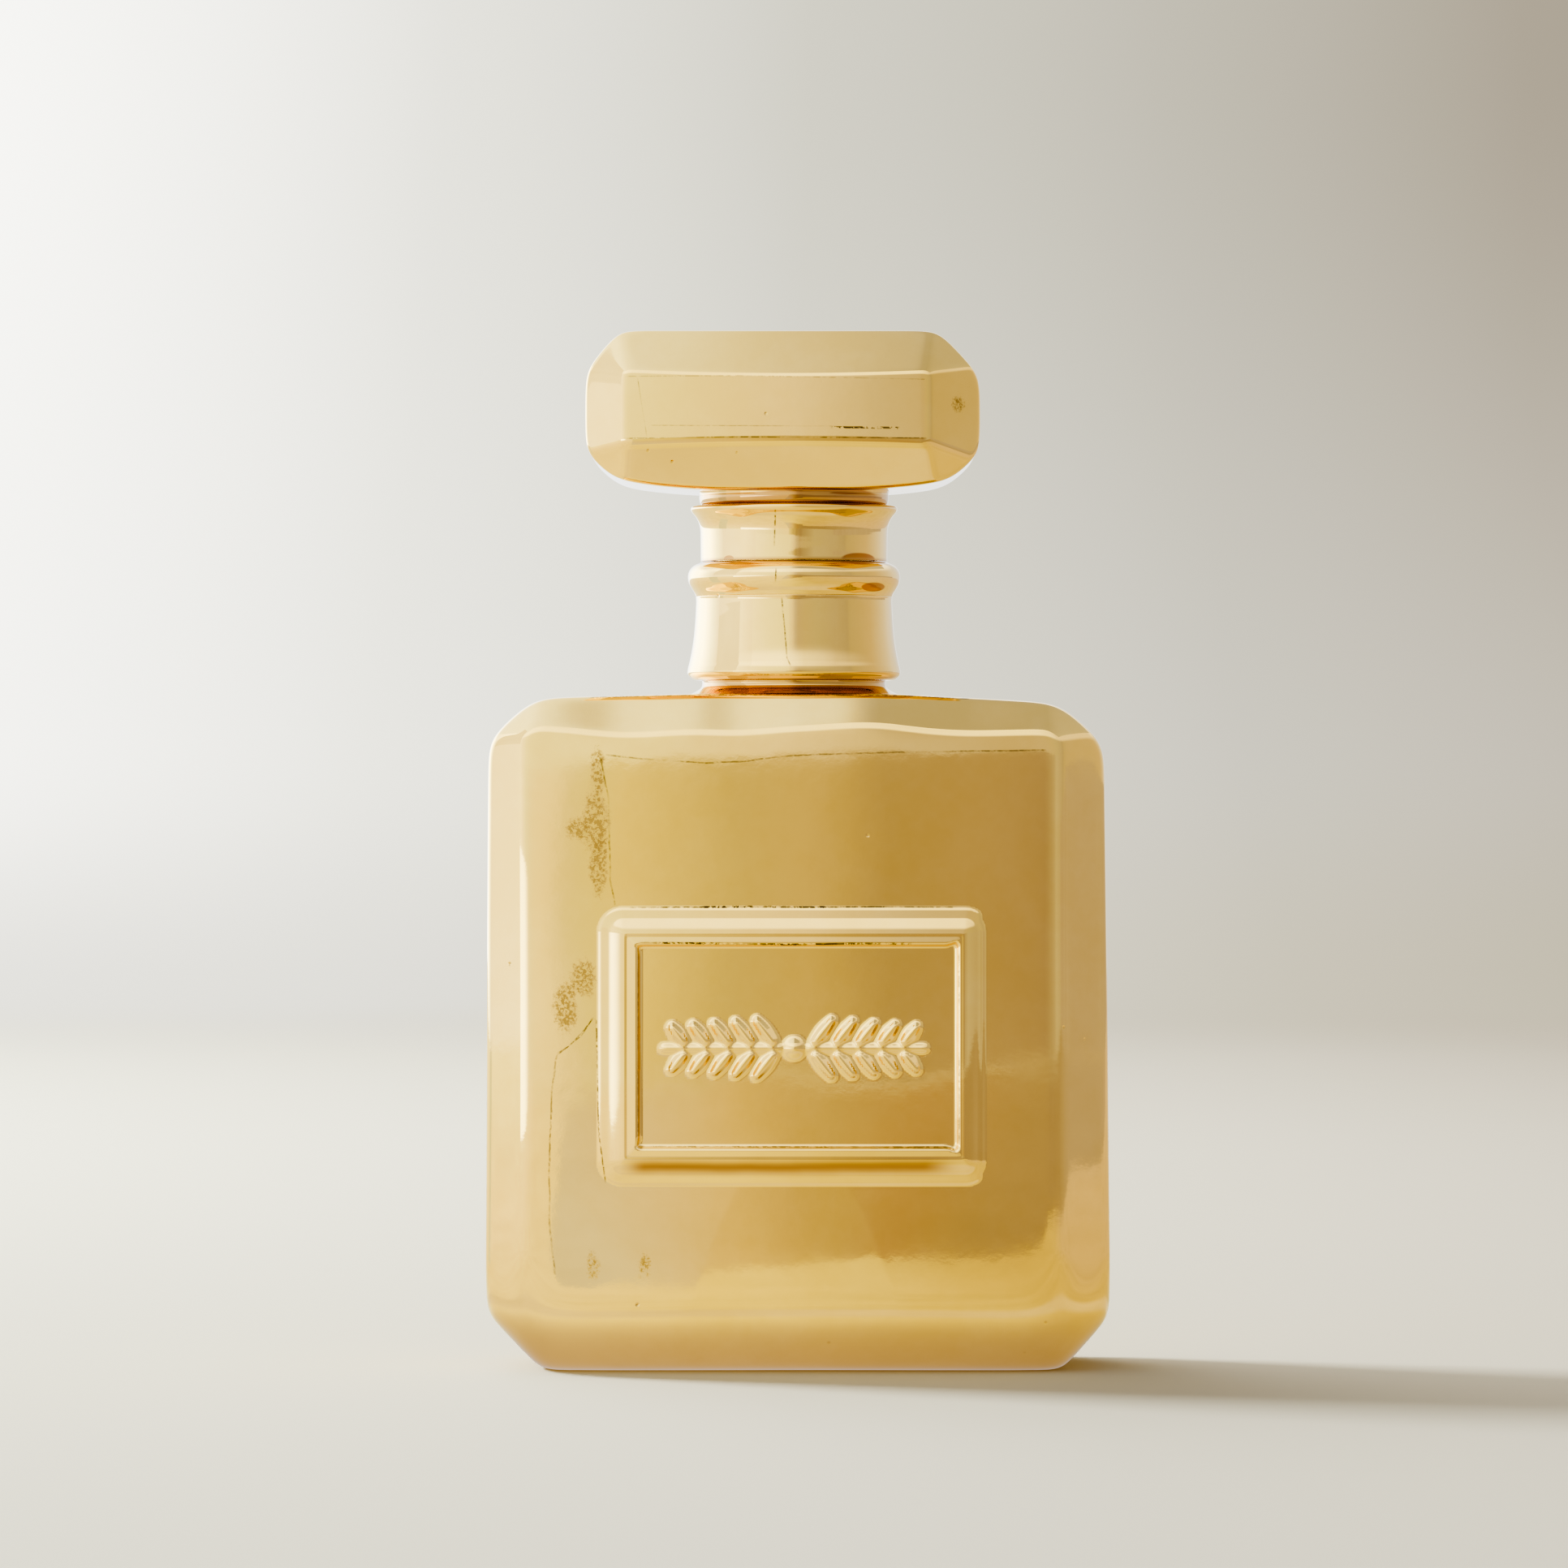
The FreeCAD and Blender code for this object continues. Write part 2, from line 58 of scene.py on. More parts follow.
# ------------------------------------------------------------------ mesh helpers
def mesh_object(name, verts, quads, tris=None):
    """A smooth-shaded object from arrays of points (mm), four-sided faces and, if given, triangles."""
    verts = np.asarray(verts, np.float64) * MM
    quads = np.asarray(quads, np.int64).reshape(-1, 4)
    tris = np.zeros((0, 3), np.int64) if tris is None else np.asarray(tris, np.int64).reshape(-1, 3)
    me = bpy.data.meshes.new(name)
    me.vertices.add(len(verts))
    me.vertices.foreach_set("co", verts.astype(np.float32).ravel())
    loops = np.concatenate([quads.ravel(), tris.ravel()]).astype(np.int32)
    me.loops.add(len(loops))
    me.loops.foreach_set("vertex_index", loops)
    n = len(quads) + len(tris)
    starts = np.concatenate([np.arange(len(quads)) * 4, len(quads) * 4 + np.arange(len(tris)) * 3]).astype(np.int32)
    me.polygons.add(n)
    me.polygons.foreach_set("loop_start", starts)
    me.polygons.foreach_set("use_smooth", np.ones(n, bool))
    me.update(calc_edges=True)
    me.validate()
    ob = bpy.data.objects.new(name, me)
    scene.collection.objects.link(ob)
    return ob


def shell_grid(xs, ys, zs):
    """Points and outward quads of the skin of a box lattice."""
    nx, ny, nz = len(xs), len(ys), len(zs)
    index = np.full((nx, ny, nz), -1, np.int64)
    skin = np.zeros((nx, ny, nz), bool)
    skin[0], skin[-1], skin[:, 0], skin[:, -1], skin[:, :, 0], skin[:, :, -1] = True, True, True, True, True, True
    where = np.argwhere(skin)
    index[skin] = np.arange(len(where))
    pts = np.stack([xs[where[:, 0]], ys[where[:, 1]], zs[where[:, 2]]], axis=1)
    quads = []

    def face(a, flip):
        q = np.stack([a[:-1, :-1], a[1:, :-1], a[1:, 1:], a[:-1, 1:]], axis=-1).reshape(-1, 4)
        quads.append(q[:, ::-1] if flip else q)

    face(index[0], True)
    face(index[-1], False)
    face(index[:, 0], False)
    face(index[:, -1], True)
    face(index[:, :, 0], True)
    face(index[:, :, -1], False)
    return pts, np.concatenate(quads)


def spaced(stops):
    """Grid lines through [(start, step), ..., (end, None)]: each stretch is divided evenly by about its step."""
    out = []
    for (a, step), (b, _) in zip(stops, stops[1:]):
        n = max(1, int(round((b - a) / step)))
        out.append(np.linspace(a, b, n, endpoint=False))
    return np.append(np.concatenate(out), stops[-1][0])


def cast(pts, core_lo, core_hi, field):
    """Moves each lattice point along its line from the core to where the field is zero."""
    core = np.clip(pts, core_lo, core_hi)
    d = pts - core
    reach = np.linalg.norm(d, axis=1)
    d = d / reach[:, None]
    lo, hi = np.zeros(len(pts)), reach.copy()
    for _ in range(34):
        mid = (lo + hi) / 2
        inside = field(core + d * mid[:, None]) < 0
        lo, hi = np.where(inside, mid, lo), np.where(inside, hi, mid)
    return core + d * ((lo + hi) / 2)[:, None]


def step01(x, a, b):
    t = np.clip((x - a) / (b - a), 0.0, 1.0)
    return t * t * (3 - 2 * t)


def blended_max(values, k):
    """Largest of several fields, rounded over where they meet. k may differ from point to point."""
    v = np.stack(values)
    m = v.max(axis=0)
    return m + k * np.log(np.exp((v - m) / k).sum(axis=0))


def waves(seed, count, lengths, amplitude):
    """A gentle unevenness in three dimensions: a sum of sine waves with random directions."""
    rng = np.random.RandomState(seed)
    terms = []
    for _ in range(count):
        d = rng.normal(size=3)
        d /= np.linalg.norm(d)
        length = rng.uniform(*lengths)
        terms.append((d * 2 * math.pi / length, rng.uniform(0, 2 * math.pi), amplitude * length / lengths[1] / math.sqrt(count)))

    def f(p):
        out = np.zeros(len(p))
        for k, phase, a in terms:
            out += a * np.sin(p @ k + phase)
        return out

    return f


def lathe(name, profile, segments=288, wobble=None, close=True):
    """Solid of revolution about Z. profile is a list of (radius, height) in mm, going up the outside and back down the inside."""
    prof = np.asarray(profile, float)
    n = len(prof)
    ang = np.linspace(0, 2 * math.pi, segments, endpoint=False)
    r = np.repeat(prof[:, 0][None, :], segments, axis=0)
    z = np.repeat(prof[:, 1][None, :], segments, axis=0)
    pts = np.stack([r * np.cos(ang)[:, None], r * np.sin(ang)[:, None], z], axis=-1).reshape(-1, 3)
    if wobble is not None:
        rr = np.maximum(np.hypot(pts[:, 0], pts[:, 1]), 1e-6)
        w = wobble(pts)
        pts[:, 0] += pts[:, 0] / rr * w
        pts[:, 1] += pts[:, 1] / rr * w
    i = np.arange(segments)[:, None]
    j = np.arange(n if close else n - 1)[None, :]
    i2, j2 = (i + 1) % segments, (j + 1) % n
    quads = np.stack([i * n + j, i2 * n + j, i2 * n + j2, i * n + j2], axis=-1).reshape(-1, 4)
    return mesh_object(name, pts, quads)


def smooth_curve(points, step=0.12, sharp=()):
    """Points along a Catmull-Rom curve through (radius, height) points. The curve has corners at the indices in sharp."""
    pts = [np.array(p, float) for p in points]
    out = [pts[0]]
    cuts = sorted(set([0, len(pts) - 1]) | set(sharp))
    for a, b in zip(cuts, cuts[1:]):
        run = pts[a:b + 1]
        ext = [2 * run[0] - run[1]] + run + [2 * run[-1] - run[-2]]
        for i in range(1, len(ext) - 2):
            p0, p1, p2, p3 = ext[i - 1], ext[i], ext[i + 1], ext[i + 2]
            n = max(2, int(np.linalg.norm(p2 - p1) / step))
            for k in range(1, n + 1):
                t = k / n
                out.append(0.5 * ((2 * p1) + (p2 - p0) * t + (2 * p0 - 5 * p1 + 4 * p2 - p3) * t * t
                                  + (3 * p1 - p0 - 3 * p2 + p3) * t ** 3))
    return [tuple(p) for p in out]


# ------------------------------------------------------------------ node material helpers
class Nodes:
    def __init__(self, name):
        self.mat = bpy.data.materials.new(name)
        self.mat.use_nodes = True
        self.tree = self.mat.node_tree
        self.tree.nodes.clear()
        self.out = self.tree.nodes.new("ShaderNodeOutputMaterial")
        self.coord = self.tree.nodes.new("ShaderNodeTexCoord")

    def node(self, kind, **props):
        n = self.tree.nodes.new(kind)
        for k, v in props.items():
            setattr(n, k, v)
        return n

    def link(self, a, b):
        self.tree.links.new(a, b)

    def put(self, socket, value):
        if isinstance(value, bpy.types.NodeSocket):
            self.link(value, socket)
        else:
            socket.default_value = value

    def noise(self, scale, detail=3.0, rough=0.5, distortion=0.0, vector=None):
        n = self.node("ShaderNodeTexNoise")
        n.inputs["Scale"].default_value = scale
        n.inputs["Detail"].default_value = detail
        n.inputs["Roughness"].default_value = rough
        n.inputs["Distortion"].default_value = distortion
        self.link(vector or self.coord.outputs["Object"], n.inputs["Vector"])
        return n.outputs["Fac"]

    def voronoi(self, scale, feature="F1", randomness=1.0):
        n = self.node("ShaderNodeTexVoronoi", feature=feature)
        n.inputs["Scale"].default_value = scale
        n.inputs["Randomness"].default_value = randomness
        self.link(self.coord.outputs["Object"], n.inputs["Vector"])
        return n.outputs["Distance"]

    def remap(self, value, a, b, c=0.0, d=1.0, smooth=False):
        n = self.node("ShaderNodeMapRange", interpolation_type="SMOOTHSTEP" if smooth else "LINEAR")
        n.clamp = True
        self.put(n.inputs["Value"], value)
        n.inputs["From Min"].default_value = a
        n.inputs["From Max"].default_value = b
        n.inputs["To Min"].default_value = c
        n.inputs["To Max"].default_value = d
        return n.outputs["Result"]

    def math(self, op, a, b=0.0, clamp=False):
        n = self.node("ShaderNodeMath", operation=op)
        n.use_clamp = clamp
        self.put(n.inputs[0], a)
        self.put(n.inputs[1], b)
        return n.outputs[0]

    def mix(self, fac, a, b):
        n = self.node("ShaderNodeMix", data_type="RGBA")
        self.put(n.inputs["Factor"], fac)
        self.put(n.inputs[6], a)
        self.put(n.inputs[7], b)
        return n.outputs[2]

    def ramp(self, value, lo, hi, stops, peak=6.0):
        """Colours along a value. Stops are (value, (r, g, b)), and the result is to be multiplied by peak."""
        n = self.node("ShaderNodeValToRGB")
        self.link(self.remap(value, lo, hi), n.inputs[0])
        r = n.color_ramp
        while len(r.elements) > 1:
            r.elements.remove(r.elements[-1])
        for i, (v, c) in enumerate(stops):
            e = r.elements[0] if i == 0 else r.elements.new((v - lo) / (hi - lo))
            e.position = (v - lo) / (hi - lo)
            e.color = (c[0] / peak, c[1] / peak, c[2] / peak, 1)
        return n.outputs[0]

    def azimuth(self, x, y):
        """Degrees from -Y, positive towards +X."""
        return self.math("MULTIPLY", self.math("ARCTAN2", x, self.math("MULTIPLY", y, -1.0)), 180 / math.pi)

    def axes(self, source="Object"):
        n = self.node("ShaderNodeSeparateXYZ")
        self.link(self.coord.outputs[source], n.inputs[0])
        return n.outputs

    def blob(self, centre, radii):
        """1 at a point (m), falling to 0 at the given radii."""
        m = self.node("ShaderNodeMapping", vector_type="TEXTURE")
        m.inputs["Location"].default_value = centre
        m.inputs["Scale"].default_value = radii
        self.link(self.coord.outputs["Object"], m.inputs["Vector"])
        d = self.node("ShaderNodeVectorMath", operation="LENGTH")
        self.link(m.outputs[0], d.inputs[0])
        return self.remap(d.outputs["Value"], 0.0, 1.0, 1.0, 0.0, smooth=True)

    def line(self, along, across, points, width, wobble=0.0, speck=0.5):
        """A thin speckled line through (along, across) points, in mm: 1 on the line, 0 off it."""
        a = [p[0] * MM for p in points]
        c = [p[1] * MM for p in points]
        lo, hi = a[0], a[-1]
        low, high = min(c) - 1e-5, max(c) + 1e-5
        path = self.remap(self.ramp(along, lo, hi, [(u, ((v - low) / (high - low),) * 3) for u, v in zip(a, c)], peak=1.0), 0.0, 1.0, low, high)
        off = self.math("SUBTRACT", across, path)
        if wobble:
            off = self.math("ADD", off, self.math("MULTIPLY", self.math("SUBTRACT", self.noise(420.0, 3.0, 0.6), 0.5), wobble * MM))
        size = width * MM
        core = self.remap(self.math("ABSOLUTE", off), size, size * 0.45)
        ends = self.math("MULTIPLY", self.remap(along, lo, lo + 0.0006), self.remap(along, hi, hi - 0.0006))
        broken = self.math("MULTIPLY", self.remap(self.noise(1500.0, 2.0, 0.7), 0.5 - speck * 0.30, 0.5 + speck * 0.10),
                           self.remap(self.noise(140.0, 2.0, 0.6), 0.36, 0.52, 0.25, 1.0))
        return self.math("MULTIPLY", self.math("MULTIPLY", core, ends), broken)

    def bump(self, height, distance, strength=1.0, normal=None):
        n = self.node("ShaderNodeBump")
        n.inputs["Strength"].default_value = strength
        n.inputs["Distance"].default_value = distance
        self.link(height, n.inputs["Height"])
        if normal is not None:
            self.link(normal, n.inputs["Normal"])
        return n.outputs["Normal"]

    def principled(self, **values):
        n = self.node("ShaderNodeBsdfPrincipled")
        for k, v in values.items():
            self.put(n.inputs[k.replace("_", " ")], v)
        self.link(n.outputs[0], self.out.inputs["Surface"])
        return n


GOLD_A = (0.875, 0.630, 0.210, 1)
GOLD_B = (0.835, 0.590, 0.178, 1)


def gold_material(name, peel=1.0, blemishes=(), shade_lines=(), shade_spots=(), underside_shade=None, crease_shade=()):
    """Mirror gold lustre over a glaze: slow colour drift, a faint orange peel, pinholes, and grainy patches where the
    lustre broke up. It can also carry painted shade: dark bands in creases, dark spots, a brown band on a down-facing
    slope, and near-black lines along creases and where dark edges are reflected.
    """
    m = Nodes(name)
    drift = m.noise(38.0, 4.0, 0.55, 0.6)
    mottle = m.noise(420.0, 3.0, 0.6)
    tone = m.math("ADD", m.math("MULTIPLY", drift, 0.75), m.math("MULTIPLY", mottle, 0.25))
    colour = m.mix(m.remap(tone, 0.35, 0.65, smooth=True), GOLD_A, GOLD_B)
    rough = m.remap(m.noise(90.0, 4.0, 0.6), 0.3, 0.7, 0.022, 0.050)

    # Pinholes in the glaze
    cells = m.voronoi(260.0)
    rare = m.noise(75.0, 2.0, 0.5)
    pin = m.math("MULTIPLY", m.remap(cells, 0.10, 0.02, 0.0, 1.0, smooth=True), m.remap(rare, 0.60, 0.66, smooth=True))
    colour = m.mix(m.math("MULTIPLY", pin, 0.55), colour, (0.30, 0.16, 0.05, 1))

    grain = m.noise(2400.0, 2.0, 0.7)
    for centre, radii, weight in blemishes:
        patch = m.math("MULTIPLY", m.blob(centre, radii), weight)
        ragged = m.math("ADD", patch, m.math("MULTIPLY", m.math("SUBTRACT", m.noise(620.0, 5.0, 0.85), 0.5), 2.0))
        edge = m.math("MULTIPLY", m.remap(ragged, 0.10, 0.50), m.remap(patch, 0.01, 0.12))
        specks = m.math("MULTIPLY", edge, m.remap(grain, 0.42, 0.56))
        colour = m.mix(m.math("MULTIPLY", specks, 0.85), colour, (0.31, 0.18, 0.045, 1))
        colour = m.mix(m.math("MULTIPLY", edge, 0.22), colour, (0.50, 0.36, 0.12, 1))
        rough = m.math("ADD", rough, m.math("MULTIPLY", specks, 0.25))
    # Painted shade: dark brown spots in the creases of the neck and in the gap under the cap.
    for centre, radii, weight in shade_spots:
        mark = m.remap(m.math("ADD", m.blob(centre, radii), m.math("MULTIPLY", m.math("SUBTRACT", m.noise(200.0, 2.0, 0.5), 0.5), 0.12)), 0.12, 0.24)
        colour = m.mix(m.math("MULTIPLY", mark, weight), colour, (0.40, 0.17, 0.060, 1))
    x, y, z = m.axes()
    # Painted shade: dark brown bands at the given heights, in the creases between the neck pieces.
    for level, half in crease_shade:
        off = m.math("ABSOLUTE", m.math("SUBTRACT", z, level))
        colour = m.mix(m.math("MULTIPLY", m.remap(off, half, half * 0.4), 0.85), colour, (0.50, 0.300, 0.110, 1))
    # Painted shade: a brown band along the down-facing slope of the frame's bottom bar, where the shaded floor by the
    # bottle would be reflected.
    if underside_shade:
        (x0, x1), middle, half = underside_shade
        wander = m.math("MULTIPLY", m.math("SUBTRACT", m.noise(60.0, 3.0, 0.6), 0.5), 0.0008)
        off = m.math("ABSOLUTE", m.math("SUBTRACT", m.math("ADD", z, wander), middle))
        run = m.math("MULTIPLY", m.remap(x, x0, x0 + 0.004, smooth=True), m.remap(x, x1, x1 - 0.006, smooth=True))
        band = m.math("MULTIPLY", m.math("MULTIPLY", m.remap(off, half, 0.0, smooth=True), run), m.remap(y, -0.0165, -0.0175))
        colour = m.mix(m.math("MULTIPLY", band, 0.88), colour, (0.32, 0.145, 0.035, 1))
    # Painted shade and painted reflections: near-black speckled lines on the front, along creases and edges and where
    # thin dark edges are reflected.
    if shade_lines:
        front = m.remap(y, -0.0085, -0.0095)
        for axis, points, width, weight, wobble, speck in shade_lines:
            along, across = (x, z) if axis == "x" else (z, x)
            mark = m.math("MULTIPLY", m.line(along, across, points, width, wobble, speck), front)
            colour = m.mix(m.math("MULTIPLY", mark, weight), colour, (0.030, 0.014, 0.005, 1))

    n1 = m.bump(m.noise(300.0, 2.0, 0.5), 0.0000045 * peel)
    n2 = m.bump(grain, 0.0000005, normal=n1)
    n3 = m.bump(m.math("SUBTRACT", 1.0, pin), 0.00006, normal=n2)
    m.principled(Base_Color=colour, Metallic=1.0, Roughness=rough, Normal=n3)
    return m.mat


def plastic(name, colour, dark, rough=0.38, scale=500.0, bump=0.000006, subsurface=0.0, alpha=None):
    m = Nodes(name)
    cloud = m.noise(120.0, 3.0, 0.5)
    fine = m.noise(scale, 3.0, 0.6)
    c = m.mix(m.remap(cloud, 0.3, 0.7), colour, dark)
    r = m.remap(fine, 0.3, 0.7, rough - 0.06, rough + 0.08)
    p = m.principled(Base_Color=c, Roughness=r, Normal=m.bump(fine, bump))
    p.inputs["IOR"].default_value = 1.49
    if subsurface:
        p.inputs["Subsurface Weight"].default_value = subsurface
        p.inputs["Subsurface Radius"].default_value = (0.002, 0.0018, 0.0014)
    return m.mat


def metal(name, colour, dark, rough=0.25, stretch=(1.0, 1.0, 1.0), bump=0.000003):
    m = Nodes(name)
    mp = m.node("ShaderNodeMapping")
    mp.inputs["Scale"].default_value = stretch
    m.link(m.coord.outputs["Object"], mp.inputs["Vector"])
    fine = m.noise(1500.0, 3.0, 0.6, vector=mp.outputs[0])
    cloud = m.noise(90.0, 3.0, 0.5)
    c = m.mix(m.remap(cloud, 0.3, 0.7), colour, dark)
    r = m.remap(fine, 0.3, 0.7, rough - 0.05, rough + 0.08)
    m.principled(Base_Color=c, Metallic=1.0, Roughness=r, Normal=m.bump(fine, bump))
    return m.mat


def rubber(name, colour, dark):
    m = Nodes(name)
    fine = m.noise(2200.0, 4.0, 0.7)
    c = m.mix(m.remap(m.noise(200.0, 3.0, 0.5), 0.3, 0.7), colour, dark)
    m.principled(Base_Color=c, Roughness=m.remap(fine, 0.2, 0.8, 0.62, 0.85), Normal=m.bump(fine, 0.00002))
    return m.mat


# ------------------------------------------------------------------ sizes, some read from the parts in model.glb
def node_mm(name):
    lo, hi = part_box(name)
    return np.array(lo) / MM, np.array(hi) / MM


flask_lo, flask_hi = node_mm("flask")
cap_lo, cap_hi = node_mm("cap_shell")

HALF_W = flask_hi[0]                # 43.0
HALF_D = flask_hi[1]                # 20.0
HALF_W_TOP = HALF_W - 0.4
SHOULDER_Z, EDGE_LEFT, EDGE_RIGHT = 94.4, 93.8, 93.1   # the shoulder falls a little more to the right
CUT_BOTTOM, CUT_TOP = (7.5, 7.7), (6.2, 5.7)
BEVEL_SIDE, BEVEL_TOP, BEVEL_BOTTOM, BEVEL_DEPTH = 5.9, 5.3, 5.4, 5.4
FRAME_HALF_W, FRAME_Z = 24.3, (29.05, 61.85)
SPRIG_Z, SPRIG_STEP = 45.2, 3.1


def block_planes(outline, insets, half_depth, bevel_depths):
    """Side planes, front bevels and back bevels of a bevelled block as (normal, distance), edge by edge, as in the CAD."""
    sides, front, back = [], [], []
    n = len(outline)
    if np.isscalar(bevel_depths):
        bevel_depths = [bevel_depths] * n
    for i in range(n):
        (x0, z0), (x1, z1) = outline[i], outline[(i + 1) % n]
        length = math.hypot(x1 - x0, z1 - z0)
        nx, nz = (z1 - z0) / length, -(x1 - x0) / length
        sides.append((np.array([nx, 0, nz]), nx * x0 + nz * z0))
        bevel_depth = bevel_depths[i]
        for s, out in ((-1, front), (1, back)):
            v = np.array([nx * bevel_depth, s * insets[i], nz * bevel_depth])
            v /= np.linalg.norm(v)
            out.append((v, float(v @ np.array([x0, s * (half_depth - bevel_depth), z0]))))
    return sides, front, back


def corner_inset(cut, a, b):
    return (a * cut[1] + b * cut[0] - cut[0] * cut[1]) / math.hypot(*cut)


# ------------------------------------------------------------------ flask
def sprig_height(x, z):
    """Raised leaf sprig: paired leaves along a stem, growing outwards from a berry at the middle."""
    h = np.zeros(len(x))
    near = (np.abs(x) < 21) & (np.abs(z - SPRIG_Z) < 8)
    xs, zs = x[near], z[near] - SPRIG_Z
    best = np.zeros(len(xs))

    def stroke(ax, az, bx, bz, w0, w1, height, swell):
        dx, dz = bx - ax, bz - az
        t = np.clip(((xs - ax) * dx + (zs - az) * dz) / (dx * dx + dz * dz), 0, 1)
        d = np.hypot(xs - ax - t * dx, zs - az - t * dz)
        w = (w0 + (w1 - w0) * t) * (1 + swell * np.sin(math.pi * t))
        k = np.clip(d / w, 0, 1)
        return height * (0.5 + 0.5 * np.cos(math.pi * k)) ** 0.85

    parts = []
    for side in (-1, 1):
        for k in range(5):
            cx = side * (2.6 + SPRIG_STEP * k)
            length = 3.0 - 0.25 * k
            for up in (-1, 1):
                parts.append(stroke(cx + side * 0.35, up * 0.95, cx + side * (0.6 + 0.66 * length), up * (1.2 + 0.86 * length),
                                    0.95, 0.80, 0.78, 0.32))
        parts.append(stroke(side * 2.2, 0.0, side * 18.0, 0.0, 0.95, 0.75, 0.42, 0.0))
    d = np.hypot(xs, zs)
    parts.append(0.85 * (0.5 + 0.5 * np.cos(math.pi * np.clip(d / 1.75, 0, 1))) ** 0.7)
    best = (np.stack(parts) ** 5).sum(axis=0) ** 0.2
    h[near] = best
    return h


def frame_height(x, z):
    """The raised moulding round the front panel: a steep lip inside, and from its crest a convex fall to a thin outer margin."""
    cz, hz = (FRAME_Z[0] + FRAME_Z[1]) / 2, (FRAME_Z[1] - FRAME_Z[0]) / 2
    qx, qz = np.abs(x) - FRAME_HALF_W, np.abs(z - cz) - hz
    r = 0.6
    d = np.hypot(np.maximum(qx + r, 0), np.maximum(qz + r, 0)) + np.minimum(np.maximum(qx + r, qz + r), 0) - r
    right = step01(qx - qz, -1.0, 1.0) * (x > 0)
    left = step01(qx - qz, -1.0, 1.0) * (x < 0)
    outer, inner = 2.60 - 0.72 * right, -2.25 - 0.40 * left + 0.75 * right
    ledge = 0.78 + 0.09 * (-0.95 - d)
    u = np.clip(d + 0.95, 0, 2.8)
    bead = 0.83 - 0.03 * u - 0.105 * u * u
    s = step01(d, -1.12, -0.88)
    body = (1 - s) * ledge + s * bead
    margin = 0.25 - 0.10 * (d - 1.35)
    k = 0.035
    top = np.maximum(body, margin)
    top = top + k * np.log(np.exp((body - top) / k) + np.exp((margin - top) / k))
    return top * step01(d, inner - 0.42, inner + 0.10) * step01(-d, -outer - 0.28, -outer + 0.04)


flask_waves = waves(7, 14, (26.0, 60.0), 0.030)
fine_waves = waves(19, 16, (9.0, 20.0), 0.0035)


def panel_recession(x, z):
    """How far the front panel lies behind its nearest plane: crowned across, leaning back a little, more so near the top."""
    return 0.000463 * x * x + 0.004 * (z - 8.0) + 0.000143 * np.maximum(z - 50.0, 0) ** 2 - 0.10


def top_edge_drift(x):
    """The upper front bevel was cleaned up by hand in the model: it dips to the left and rises a little right of the middle."""
    def hill(middle, width):
        return np.exp(-((x - middle) / width) ** 2)
    return 0.60 * hill(-23.0, 9.0) + 0.38 * hill(-8.0, 6.5) - 0.24 * hill(10.0, 6.0) + 0.28 * hill(23.0, 9.0)


